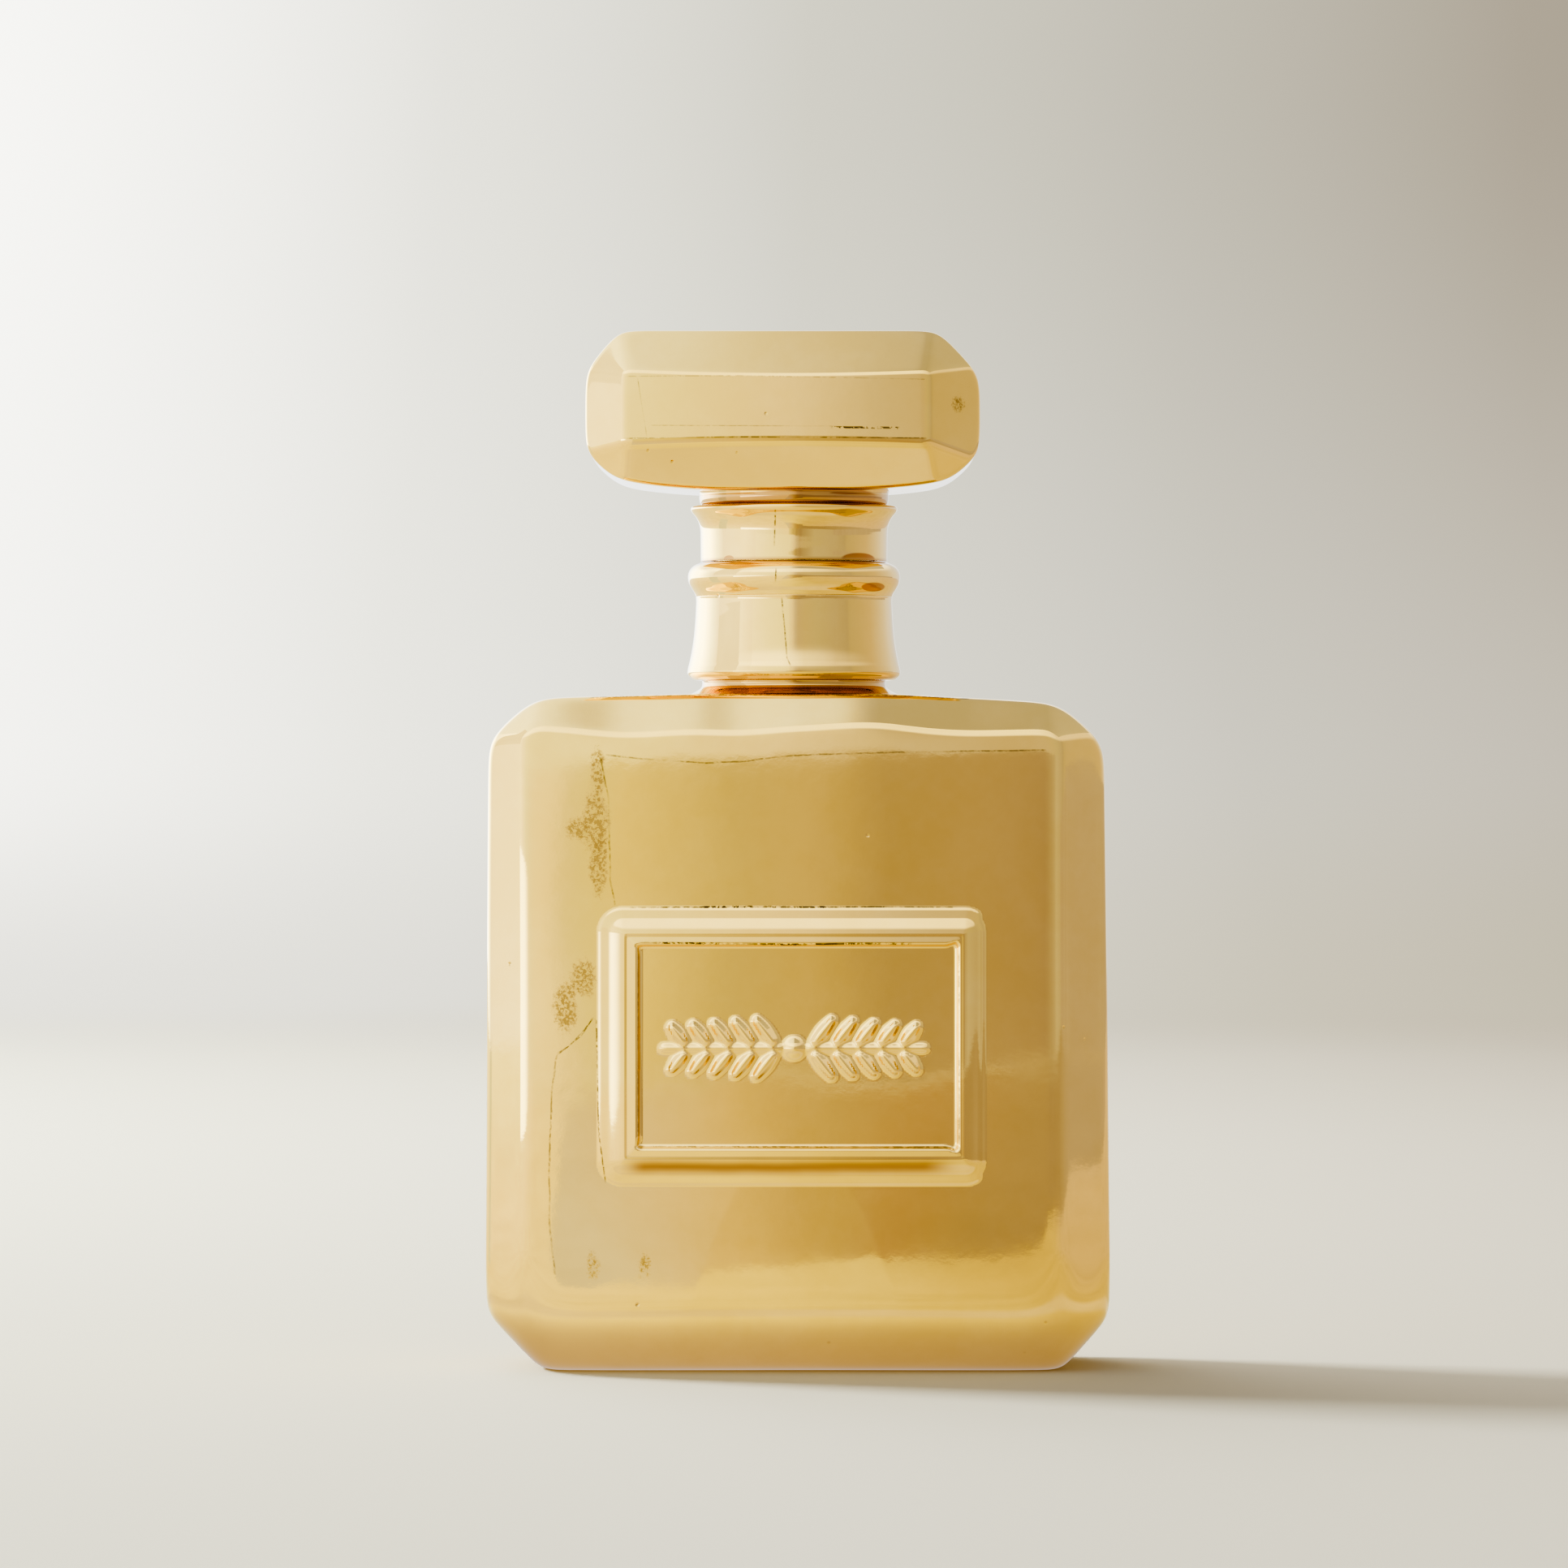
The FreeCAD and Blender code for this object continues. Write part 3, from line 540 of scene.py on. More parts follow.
def make_flask():
    w, wt, d = HALF_W, HALF_W_TOP, HALF_D
    (cbx, cbz), (ctx, ctz) = CUT_BOTTOM, CUT_TOP
    nx = 13.4
    # the pressing is a little fuller on the right, and its lower corner there is cut less
    wr, wrt, crx, crz = w + 1.15, wt + 0.75, 6.6, 7.2
    outline = [
        (-w + cbx, -0.15), (wr - crx, -0.15), (wr, crz), (wrt, EDGE_RIGHT - ctz), (wrt - ctx, EDGE_RIGHT),
        (nx, SHOULDER_Z), (-nx, SHOULDER_Z), (-wt + ctx, EDGE_LEFT), (-wt, EDGE_LEFT - ctz), (-w, cbz),
    ]
    side_left, side_right = BEVEL_SIDE + 0.3, BEVEL_SIDE + 1.6
    cb = max(2.6, corner_inset(CUT_BOTTOM, side_left, BEVEL_BOTTOM))
    cbr = max(2.6, corner_inset((crx, crz), side_right, BEVEL_BOTTOM))
    ct, ctr = corner_inset(CUT_TOP, side_left, BEVEL_TOP), corner_inset(CUT_TOP, side_right, BEVEL_TOP)
    insets = [BEVEL_BOTTOM, cbr, side_right, ctr, BEVEL_TOP, BEVEL_TOP, BEVEL_TOP, ct, side_left, cb]
    top_depth = 4.2
    sides, front, rear = block_planes(outline, insets, d, [BEVEL_DEPTH, BEVEL_DEPTH + 0.6, BEVEL_DEPTH + 1.4, BEVEL_DEPTH + 0.3] + [top_depth] * 3 + [BEVEL_DEPTH] * 3)

    def merged(p, planes):
        """The three pieces of the shoulder lie almost in one plane, so they join without shrinking."""
        v = [p @ n - c for n, c in planes]
        return v[:4] + [blended_max(v[4:7], 0.05)] + v[7:]

    def field(p):
        x, y, z = p[:, 0], p[:, 1], p[:, 2]
        low = step01(-z, -17.0, -4.0)
        soft = 0.30 + 0.85 * low
        outline_field = blended_max(merged(p, sides), 0.90 - 0.35 * low)
        fronts = merged(p, front)
        fronts[4] = fronts[4] + top_edge_drift(x)
        values = [outline_field] + fronts + merged(p, rear)
        back = panel_recession(x, z)
        raised = (frame_height(x, z) + sprig_height(x, z)) * step01(-y, d - 6.0, d - 3.0)
        values.append(-y - (d - np.clip(back, 0, 2)))
        values.append(y - (d - 0.6 * np.clip(back, 0, 2)))
        f = blended_max(values, soft)
        f = f - raised
        f = f + flask_waves(p) + fine_waves(p)
        # The recess in the base
        rx, ry = np.abs(x) - 28.5, np.abs(y) - 8.8
        r = 4.0
        sd = np.hypot(np.maximum(rx + r, 0), np.maximum(ry + r, 0)) + np.minimum(np.maximum(rx + r, ry + r), 0) - r
        f = f + 1.0 * step01(-sd, -0.1, 1.3) * (z < 4.0)
        return f

    m = 2.4
    xs = spaced([(-w - m, 0.55), (-27.4, 0.21), (-21.2, 0.30), (21.2, 0.21), (27.4, 0.55), (w + m, None)])
    zs = spaced([(-m, 0.55), (26.0, 0.21), (32.0, 0.36), (38.5, 0.30), (52.0, 0.40), (59.0, 0.21), (65.0, 0.55), (95.0 + m, None)])
    ys = spaced([(-d - m, 0.6), (d + m, None)])
    pts, quads = shell_grid(xs, ys, zs)
    core_lo = np.array([-w + 8.5, -d + 8.5, 8.5])
    core_hi = np.array([w - 8.5, d - 8.5, 85.5])
    pts = cast(pts, core_lo, core_hi, field)
    pts[:, 2] = np.maximum(pts[:, 2], 0.0)
    # the mouth, under the crimp finish
    centre = pts[quads].mean(axis=1)
    quads = quads[~((np.hypot(centre[:, 0], centre[:, 1]) < 7.2) & (centre[:, 2] > 90.0))]
    used = np.unique(quads)
    remap = np.full(len(pts), -1)
    remap[used] = np.arange(len(used))
    return mesh_object("flask_body", pts[used], remap[quads])


# Painted shade and painted reflections: near-black speckled lines along the frame's creases and the panel edges, and
# where thin dark edges are reflected across the panel: (runs along, [(along, across)], half width, depth, wobble,
# breaks)
flask_shade_lines = [
    ("x", [(-22.9, 64.68), (-14.0, 64.74), (-9.0, 64.78), (3.0, 64.72), (10.0, 64.80), (22.6, 64.72)], 0.15, 0.85, 0.10, 0.6),
    ("x", [(-13.0, 64.75), (-6.0, 64.80), (4.6, 64.74)], 0.21, 0.95, 0.05, 0.05),
    ("x", [(-21.4, 59.86), (-12.0, 59.74), (0.0, 59.60), (9.0, 59.72), (16.4, 59.70)], 0.20, 0.92, 0.08, 0.3),
    ("x", [(-10.6, 59.74), (0.0, 59.60), (12.0, 59.72)], 0.27, 0.98, 0.05, 0.0),
    ("z", [(32.0, -21.60), (45.0, -21.62), (59.4, -21.58)], 0.12, 0.45, 0.08, 0.8),
    ("x", [(-20.2, 31.62), (21.6, 31.50)], 0.15, 0.55, 0.05, 0.2),
    ("z", [(32.2, 22.85), (58.6, 22.80)], 0.15, 0.45, 0.05, 0.2),
    ("x", [(-28.6, 93.75), (-24.0, 94.02), (-13.4, 94.22), (0.0, 94.28), (13.4, 94.16), (24.6, 93.70)], 0.20, 0.60, 0.10, 0.2),
    ("z", [(26.5, -26.1), (33.0, -27.0), (37.0, -27.16), (49.0, -27.36), (49.4, -27.7)], 0.15, 0.75, 0.12, 0.5),
    ("x", [(-26.2, 85.85), (-21.2, 85.3), (-12.2, 84.72), (-6.8, 84.95), (-1.9, 85.62), (2.4, 85.85), (14.0, 86.2), (35.0, 86.5)], 0.15, 0.62, 0.18, 0.7),
    ("z", [(64.7, -24.75), (68.4, -25.45), (80.0, -25.75), (86.4, -27.0)], 0.16, 0.60, 0.35, 0.7),
    ("z", [(13.2, -33.1), (21.7, -33.9), (30.8, -33.9), (39.8, -33.55), (44.2, -32.9), (46.8, -29.6), (49.6, -27.7)], 0.17, 0.62, 0.5, 0.7),
    ("x", [(-33.0, 44.3), (-31.3, 45.4), (-29.6, 47.1), (-27.7, 49.5)], 0.17, 0.62, 0.4, 0.7),
]
# The flask's lustre, with painted shade: dark lines along creases and reflected edges, a brown band under the frame's
# bottom bar, and a dark band round the neck root.
gold_flask = gold_material(
    "gold_lustre_flask", 0.65,
    blemishes=[
        ((-0.0275, -0.0195, 0.0762), (0.0026, 0.006, 0.0066), 1.1),
        ((-0.0271, -0.0195, 0.0704), (0.0018, 0.006, 0.0056), 1.1),
        ((-0.0298, -0.0195, 0.0756), (0.0026, 0.006, 0.0022), 0.9),
        ((-0.0272, -0.0195, 0.0832), (0.0014, 0.006, 0.0052), 1.0),
        ((-0.0316, -0.0195, 0.0510), (0.0024, 0.006, 0.0048), 1.0),
        ((-0.0292, -0.0195, 0.0550), (0.0026, 0.006, 0.0036), 0.9),
        ((-0.0279, -0.0195, 0.0148), (0.0014, 0.006, 0.0032), 0.5),
        ((-0.0208, -0.0195, 0.0150), (0.0014, 0.006, 0.0026), 0.5),
    ], shade_lines=flask_shade_lines, underside_shade=((-0.0246, 0.0236), 0.0288, 0.0017), crease_shade=((0.0960, 0.0009),))
# The cap's lustre, with painted shade: dark lines along the front face's edges and reflected dark edges, and dark spots
# and a dark band on the stub under the cap.
gold_cap = gold_material(
    "gold_lustre_cap", 1.0, blemishes=[((0.0228, -0.0175, 0.1347), (0.0014, 0.01, 0.0016), 0.9)],
    shade_lines=[
        ("x", [(-23.3, 129.75), (-8.0, 129.95), (18.4, 129.80)], 0.12, 0.65, 0.05, 0.4),
        ("x", [(-20.0, 131.55), (5.6, 131.45)], 0.10, 0.40, 0.08, 0.8),
        ("x", [(5.0, 131.30), (14.8, 131.20)], 0.20, 0.92, 0.08, 0.1),
        ("z", [(129.8, -20.4), (138.3, -21.75)], 0.10, 0.45, 0.10, 0.6),
        ("x", [(-23.4, 138.35), (-8.0, 138.45), (8.0, 138.15), (18.6, 137.95)], 0.10, 0.35, 0.05, 0.4),
    ],
    shade_spots=[
        ((0.0050, -0.0125, 0.1220), (0.0150, 0.010, 0.0015), 0.92),
        ((-0.0060, -0.0125, 0.1216), (0.0095, 0.010, 0.0009), 0.70),
    ], crease_shade=((0.1217, 0.0014),))
# The neck pieces' lustre, with painted shade: a dark painted reflection line down the front, and dark spots and dark
# bands in the creases between the pieces.
gold_collar = gold_material(
    "gold_lustre_collar", 0.8,
    shade_lines=[
        ("z", [(97.9, -0.35), (99.4, -1.0), (103.9, -1.35), (107.9, -1.75)], 0.14, 0.80, 0.12, 0.6),
        ("z", [(109.8, -2.6), (112.0, -2.5)], 0.14, 0.80, 0.05, 0.5),
        ("z", [(114.9, -2.75), (120.3, -2.6)], 0.14, 0.80, 0.08, 0.6),
    ],
    shade_spots=[
        ((0.0092, -0.0094, 0.11325), (0.0038, 0.006, 0.00120), 0.9),
        ((0.0112, -0.0092, 0.10935), (0.0027, 0.005, 0.00085), 0.85),
        ((-0.0091, -0.0094, 0.11330), (0.0010, 0.004, 0.00065), 0.7),
    ], crease_shade=((0.1130, 0.0006), (0.0965, 0.0007), (0.1209, 0.0004)))

flask = make_flask()
flask.data.materials.append(gold_flask)
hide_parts("flask")
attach(flask, "flask")

collar_wobble = waves(31, 10, (16.0, 36.0), 0.080)


def fuller(points):
    """The gold neck pieces stand a little prouder than their solids."""
    return [(r * 1.034 if r > 12.5 else r, z) for r, z in points]


root = lathe("flask_neck_root", smooth_curve([
    (10.0, 93.0), (16.0, 93.2), (15.7, 94.10), (14.5, 94.50), (13.6, 94.95), (13.05, 95.40), (12.90, 95.90), (12.95, 96.38), (10.0, 96.38)],
    0.10, sharp=(1, 7)), wobble=collar_wobble)
root.data.materials.append(gold_flask)
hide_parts("flask")
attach(root, "flask")

# The crimp finish above the shoulder, inside the collar
finish = lathe("flask_crimp_finish", [
    (6.5, 95.5), (8.2, 95.5), (8.2, 101.1), (9.1, 101.5), (9.4, 101.8), (9.4, 103.8), (9.2, 104.15), (8.9, 104.3), (6.5, 104.3)], 160)
finish.data.materials.append(gold_flask)
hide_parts("flask")
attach(finish, "flask")

# ------------------------------------------------------------------ collar
band = lathe("collar_band_gold", smooth_curve(fuller([
    (12.4, 96.42), (13.35, 96.42), (14.05, 96.75), (14.50, 97.35), (14.46, 98.1), (14.26, 99.0), (13.95, 100.6), (13.68, 102.6),
    (13.50, 104.8), (13.40, 106.7), (13.37, 107.6), (13.42, 108.2), (11.2, 108.2), (11.2, 97.2), (12.4, 97.0)]),
    0.10, sharp=(0, 11, 12, 13, 14)), 384, wobble=collar_wobble)
bead = lathe("collar_bead_gold", smooth_curve(fuller([
    (11.1, 108.22), (13.42, 108.22), (13.62, 108.75), (13.98, 109.35), (14.34, 110.1), (14.48, 110.9), (14.36, 111.65),
    (14.00, 112.25), (13.50, 112.65), (12.98, 112.88), (12.72, 113.02), (11.1, 113.02)]), 0.08, sharp=(0, 1, 10)), 384, wobble=collar_wobble)
skirt = lathe("cap_skirt_gold", smooth_curve(fuller([
    (11.86, 113.12), (12.72, 113.12), (12.72, 113.6), (12.73, 114.6), (12.735, 115.8), (12.745, 116.8), (12.78, 117.6), (12.90, 118.3),
    (13.16, 119.0), (13.52, 119.6), (13.92, 120.1), (14.08, 120.5), (13.9, 120.85), (13.2, 121.0), (11.86, 121.0)]), 0.08, sharp=(0, 1, 13)), 384,
    wobble=collar_wobble)
for ob, node, body in ((band, "collar_band", "flask"), (bead, "collar_bead", "flask"), (skirt, "cap_skirt", "cap")):
    ob.data.materials.append(gold_collar)
    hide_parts(node)
    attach(ob, body)

# ------------------------------------------------------------------ cap block
cap_waves = waves(57, 12, (20.0, 44.0), 0.030)


def make_cap():
    cx = (cap_lo[0] + cap_hi[0]) / 2
    w, d = (cap_hi[0] - cap_lo[0]) / 2, cap_hi[1]
    z0, z1 = 122.75, cap_hi[2]
    wl = w + 0.65
    (cbx, cbz) = (5.4, 5.2)
    (clx, clz), (crx, crz) = (4.7, 5.5), (5.8, 6.2)
    bs, bt, bb, bd = 5.9, 6.3, 6.5, 4.8
    outline = [(-wl + cbx, z0), (w - cbx, z0), (w, z0 + cbz), (w, z1 - crz), (w - crx, z1), (-wl + clx, z1), (-wl, z1 - clz), (-wl, z0 + cbz)]
    cb = corner_inset((cbx, cbz), bs, bb)
    br = bs + 1.7
    cl, cr = corner_inset((clx, clz), bs, bt), corner_inset((crx, crz), br, bt)
    cbr = corner_inset((cbx, cbz), br, bb)
    sides, front, rear = block_planes(outline, [bb, cbr, br, cr, bt, cl, bs, cb], d, [bd, bd + 0.6, bd + 1.3, bd + 0.6, bd, bd, bd, bd])

    def field(p):
        q = p - np.array([cx, 0, 0])
        x, y, z = q[:, 0], q[:, 1], q[:, 2]
        v = [q @ n - c for n, c in sides]
        # the underside droops towards the neck
        v[0] = v[0] + 0.0050 * np.clip(np.abs(x) - 7.0, 0, None) ** 2
        values = [blended_max(v, 0.70)] + [q @ n - c for n, c in front] + [q @ n - c for n, c in rear]
        crown = 0.0008 * x * x
        values.append(-y - (d - crown))
        values.append(y - (d - crown))
        f = blended_max(values, 0.15)
        return f + cap_waves(p)

    m = 2.4
    xs = spaced([(-w - m + cx, 0.34), (w + m + cx, None)])
    ys = spaced([(-d - m, 0.40), (d + m, None)])
    zs = spaced([(z0 - m, 0.32), (z1 + m, None)])
    pts, quads = shell_grid(xs, ys, zs)
    pts = cast(pts, np.array([cx - w + 8, -d + 8, z0 + 8]), np.array([cx + w - 8, d - 8, z1 - 8]), field)
    # the way in for the liner
    centre = pts[quads].mean(axis=1)
    keep = ~((np.hypot(centre[:, 0], centre[:, 1]) < 12.25) & (centre[:, 2] < (z0 + z1) / 2))
    quads = quads[keep]
    used = np.unique(quads)
    remap = np.full(len(pts), -1)
    remap[used] = np.arange(len(used))
    return mesh_object("cap_block_gold", pts[used], remap[quads])


cap = make_cap()
cap.data.materials.append(gold_cap)
stub = lathe("cap_stub_gold", smooth_curve([
    (11.86, 121.02), (12.95, 121.02), (13.18, 121.25), (13.30, 121.7), (13.34, 122.2), (13.30, 122.6), (13.4, 123.1), (13.6, 124.2), (12.6, 125.2),
    (11.86, 125.6), (11.86, 123.0)], 0.10, sharp=(0, 1, 8, 9)), wobble=collar_wobble)
stub.data.materials.append(gold_cap)
for ob in (cap, stub):
    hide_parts("cap_shell")
    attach(ob, "cap")

# ------------------------------------------------------------------ CAD pieces that keep their shape
finishes = {
    "neck_gasket": rubber("nitrile_black", (0.030, 0.030, 0.032, 1), (0.018, 0.018, 0.020, 1)),
    "crimp_ferrule": metal("ferrule_aluminium", (0.80, 0.80, 0.81, 1), (0.70, 0.70, 0.72, 1), 0.24, (1, 1, 8)),
    "pump_housing": plastic("pp_natural", (0.82, 0.82, 0.78, 1), (0.74, 0.74, 0.70, 1), 0.40, subsurface=0.3),
    "pump_closure": plastic("acetal_white", (0.86, 0.85, 0.82, 1), (0.80, 0.79, 0.75, 1), 0.34),
    "dip_tube": plastic("dip_tube_clear", (0.80, 0.83, 0.83, 1), (0.74, 0.77, 0.78, 1), 0.22, subsurface=0.4),
    "inlet_ball": metal("ball_steel", (0.66, 0.66, 0.67, 1), (0.58, 0.58, 0.60, 1), 0.12),
    "return_spring": metal("spring_steel", (0.60, 0.60, 0.61, 1), (0.50, 0.50, 0.52, 1), 0.22),
    "cap_weight": metal("weight_steel", (0.52, 0.52, 0.54, 1), (0.42, 0.42, 0.44, 1), 0.34, (1, 1, 6)),
    "piston": plastic("pe_piston", (0.70, 0.76, 0.80, 1), (0.62, 0.68, 0.73, 1), 0.45, subsurface=0.2),
    "cap_liner": plastic("liner_black", (0.045, 0.042, 0.040, 1), (0.030, 0.028, 0.027, 1), 0.42),
    "collar_insert": plastic("insert_white", (0.80, 0.79, 0.75, 1), (0.72, 0.71, 0.67, 1), 0.40, subsurface=0.2),
    "collar_sleeve": metal("sleeve_gold", GOLD_A, GOLD_B, 0.16, (1, 1, 14)),
    "button_sleeve": metal("button_gold", GOLD_A, GOLD_B, 0.15, (1, 1, 14)),
}
finishes["stem"] = finishes["pump_closure"]
finishes["button_core"] = finishes["pump_closure"]
finishes["nozzle_insert"] = plastic("nozzle_white", (0.88, 0.87, 0.84, 1), (0.82, 0.81, 0.78, 1), 0.28)
finishes["stem_gasket"] = finishes["neck_gasket"]
finishes.update({"flask": gold_flask, "cap_shell": gold_cap, "cap_skirt": gold_collar, "collar_band": gold_collar, "collar_bead": gold_collar})
for node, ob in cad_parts.items():
    mat = finishes[node]
    if not ob.data.materials:
        ob.data.materials.append(mat)
    for i in range(len(ob.material_slots)):
        ob.material_slots[i].material = mat

# ------------------------------------------------------------------ return spring
rest_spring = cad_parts["return_spring"]
coil = bpy.data.objects.new("return_spring_coil", rest_spring.data.copy())
scene.collection.objects.link(coil)
bpy.context.view_layer.update()
coil.matrix_world = rest_spring.matrix_world.copy()
bpy.context.view_layer.update()
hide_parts("return_spring")
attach(coil, "flask")
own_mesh(coil)

# ------------------------------------------------------------------ camera
CAM_PLANE_Y = -14.0
CAM_AWAY = 1100.0
cam_data = bpy.data.cameras.new("camera")
cam_data.sensor_fit = "HORIZONTAL"
cam_data.sensor_width = 36.0
cam_data.lens = 36.0 * CAM_AWAY / 218.3
cam_data.clip_start = 0.02
cam_data.clip_end = 50.0
cam = bpy.data.objects.new("camera", cam_data)
scene.collection.objects.link(cam)
CAM = Vector((-1.4, CAM_PLANE_Y - CAM_AWAY, 81.8)) * MM
cam.location = CAM
cam.rotation_euler = (math.radians(90), 0, 0)
scene.camera = cam


# ------------------------------------------------------------------ floor, backdrop, light
def stage_object(name, verts, faces, mat):
    me = bpy.data.meshes.new(name)
    me.from_pydata([Vector(v) * MM for v in verts], [], faces)
    me.update()
    ob = bpy.data.objects.new(name, me)
    scene.collection.objects.link(ob)
    ob.data.materials.append(mat)
    return ob


def emission(m, colour, strength):
    e = m.node("ShaderNodeEmission")
    m.put(e.inputs["Color"], colour)
    m.put(e.inputs["Strength"], strength)
    m.link(e.outputs[0], m.out.inputs["Surface"])
    return m.mat


def paper_material():
    """Pale paper, painted darker towards the right on the floor as light falloff. Its upright part is washed with light
    from the left and falls off to the right.
    """
    m = Nodes("paper_sweep")
    x, y, z = m.axes()
    fibre = m.noise(900.0, 4.0, 0.6)
    soft = m.noise(1.1, 2.0, 0.5)
    # Painted light falloff: the floor's colour goes from pale on the left to darker on the right.
    across = m.remap(x, -0.30, 0.24)
    c = m.mix(across, (0.81, 0.787, 0.630, 1), (0.475, 0.420, 0.334, 1))
    c = m.mix(m.remap(soft, 0.3, 0.7, 0.0, 0.10), c, (0.70, 0.68, 0.60, 1))
    floor = m.node("ShaderNodeBsdfDiffuse")
    m.put(floor.inputs["Color"], c)
    m.put(floor.inputs["Normal"], m.bump(fibre, 0.00001))
    xx = m.math("ADD", x, m.math("MULTIPLY", m.math("SUBTRACT", soft, 0.5), 0.10))
    high = m.ramp(xx, -0.9, 0.9, [
        (-0.90, (4.6, 4.55, 4.3)), (-0.48, (3.3, 3.25, 2.95)), (-0.338, (2.45, 2.42, 2.16)), (-0.17, (1.35, 1.33, 1.12)), (0.0, (0.80, 0.775, 0.625)),
        (0.17, (0.58, 0.545, 0.435)), (0.345, (0.41, 0.362, 0.280)), (0.9, (0.24, 0.205, 0.155))])
    low = m.ramp(xx, -0.9, 0.9, [
        (-0.90, (4.2, 4.15, 3.9)), (-0.48, (2.8, 2.76, 2.5)), (-0.338, (2.25, 2.22, 2.0)), (-0.174, (1.52, 1.50, 1.28)), (0.0, (1.02, 0.99, 0.83)),
        (0.189, (0.71, 0.675, 0.56)), (0.345, (0.59, 0.535, 0.430)), (0.9, (0.40, 0.36, 0.28))])
    wall_c = m.mix(m.remap(z, 0.06, 0.42, smooth=True), low, high)
    near = m.ramp(xx, -0.9, 0.9, [
        (-0.90, (1.7, 1.66, 1.48)), (-0.338, (1.38, 1.35, 1.18)), (-0.17, (1.18, 1.15, 0.99)), (0.0, (0.91, 0.865, 0.680)), (0.19, (0.68, 0.625, 0.475)), (0.345, (0.565, 0.512, 0.378)),
        (0.9, (0.50, 0.46, 0.36))])
    wall_c = m.mix(m.remap(z, 0.0, 0.10, smooth=True), near, wall_c)
    wall = m.node("ShaderNodeEmission")
    m.put(wall.inputs["Color"], wall_c)
    wall.inputs["Strength"].default_value = 6.0
    blend = m.node("ShaderNodeMixShader")
    m.link(m.remap(y, 1.15, 1.9, smooth=True), blend.inputs[0])
    m.link(floor.outputs[0], blend.inputs[1])
    m.link(wall.outputs[0], blend.inputs[2])
    m.link(blend.outputs[0], m.out.inputs["Surface"])
    return m.mat


# A sheet of pale paper: flat under the bottle, sweeping up behind it
sweep = []
for t in np.linspace(0, 1, 2):
    sweep.append((-3500 + 5300 * t, 0.0))
for a in np.linspace(0, math.pi / 2, 40)[1:]:
    sweep.append((1800 + 900 * math.sin(a), 900 * (1 - math.cos(a))))
sweep.append((2700, 5000))
verts, faces = [], []
for yy, zz in sweep:
    verts += [(-5000, yy, zz), (5000, yy, zz)]
for i in range(len(sweep) - 1):
    faces.append((2 * i, 2 * i + 1, 2 * i + 3, 2 * i + 2))
paper = stage_object("paper_sweep", verts, faces, paper_material())
for p in paper.data.polygons:
    p.use_smooth = True


paper.visible_glossy = False


# ------------------------------------------------------------------ what the gold reflects: only reflections see these
def only_reflected(ob):
    ob.visible_camera = False
    ob.visible_diffuse = False
    ob.visible_shadow = False
    ob.visible_transmission = False
    ob.visible_volume_scatter = False


PEAK = 6.0


def front_wall():
    """The far side of the studio: a toned wall to about head height of the bottle, lighter above."""
    m = Nodes("front_wall")
    x, y, z = m.axes()
    sway = m.math("MULTIPLY", m.math("SUBTRACT", m.noise(14.0, 2.0, 0.5), 0.5), 0.014)
    rag = m.math("MULTIPLY", m.math("SUBTRACT", m.noise(260.0, 2.0, 0.6), 0.5), 0.0022)
    toned = m.ramp(x, -1.5, 1.5, [
        (-1.5, (1.8, 1.85, 1.6)), (-0.6, (1.45, 1.5, 1.2)), (-0.18, (1.45, 1.40, 0.98)), (-0.153, (1.42, 1.36, 0.92)), (-0.140, (1.10, 1.08, 0.72)),
        (-0.122, (1.06, 1.06, 0.58)), (-0.108, (1.12, 1.06, 0.54)), (-0.075, (0.92, 0.86, 0.46)), (-0.036, (0.73, 0.675, 0.42)), (0.015, (0.70, 0.62, 0.40)),
        (0.055, (0.51, 0.445, 0.36)), (0.115, (0.51, 0.44, 0.38)), (0.175, (0.45, 0.385, 0.37)), (0.24, (0.50, 0.45, 0.42)), (0.6, (0.66, 0.64, 0.58)), (1.5, (0.60, 0.57, 0.54))])
    upper = m.ramp(x, -1.5, 1.5, [
        (-1.5, (1.85, 1.9, 1.65)), (-0.3, (1.5, 1.55, 1.15)), (-0.112, (1.42, 1.46, 1.08)), (-0.074, (1.32, 1.32, 1.02)), (0.0, (1.14, 1.09, 0.90)),
        (0.073, (0.79, 0.76, 0.72)), (0.15, (0.70, 0.65, 0.58)), (0.33, (0.70, 0.66, 0.54)), (0.7, (0.66, 0.64, 0.54)), (1.5, (0.60, 0.57, 0.54))])
    bright = m.ramp(x, -1.5, 1.5, [(-1.5, (2.7, 2.8, 2.7)), (-0.3, (2.3, 2.4, 2.2)), (0.3, (1.55, 1.55, 1.3)), (1.5, (1.1, 1.05, 0.92))])
    top = m.remap(x, -0.05, 0.06, 0.1245, 0.1335, smooth=True)
    above = m.math("ADD", m.math("SUBTRACT", z, top), m.math("ADD", sway, rag))
    mix = m.mix(m.remap(above, -0.0006, 0.0006), toned, upper)
    rise = m.math("SUBTRACT", z, 0.10)
    across = m.math("ADD", m.math("MULTIPLY", x, x), 1.69)
    climb = m.math("DIVIDE", rise, m.math("SQRT", m.math("ADD", across, m.math("MULTIPLY", rise, rise))))
    mix = m.mix(m.remap(climb, 0.30, 0.46, smooth=True), mix, bright)
    return emission(m, mix, PEAK)


wall = stage_object("front_wall_panel", [(-1500, -1300, 1), (1500, -1300, 1), (1500, -1300, 1500), (-1500, -1300, 1500)], [(0, 1, 2, 3)], front_wall())
only_reflected(wall)


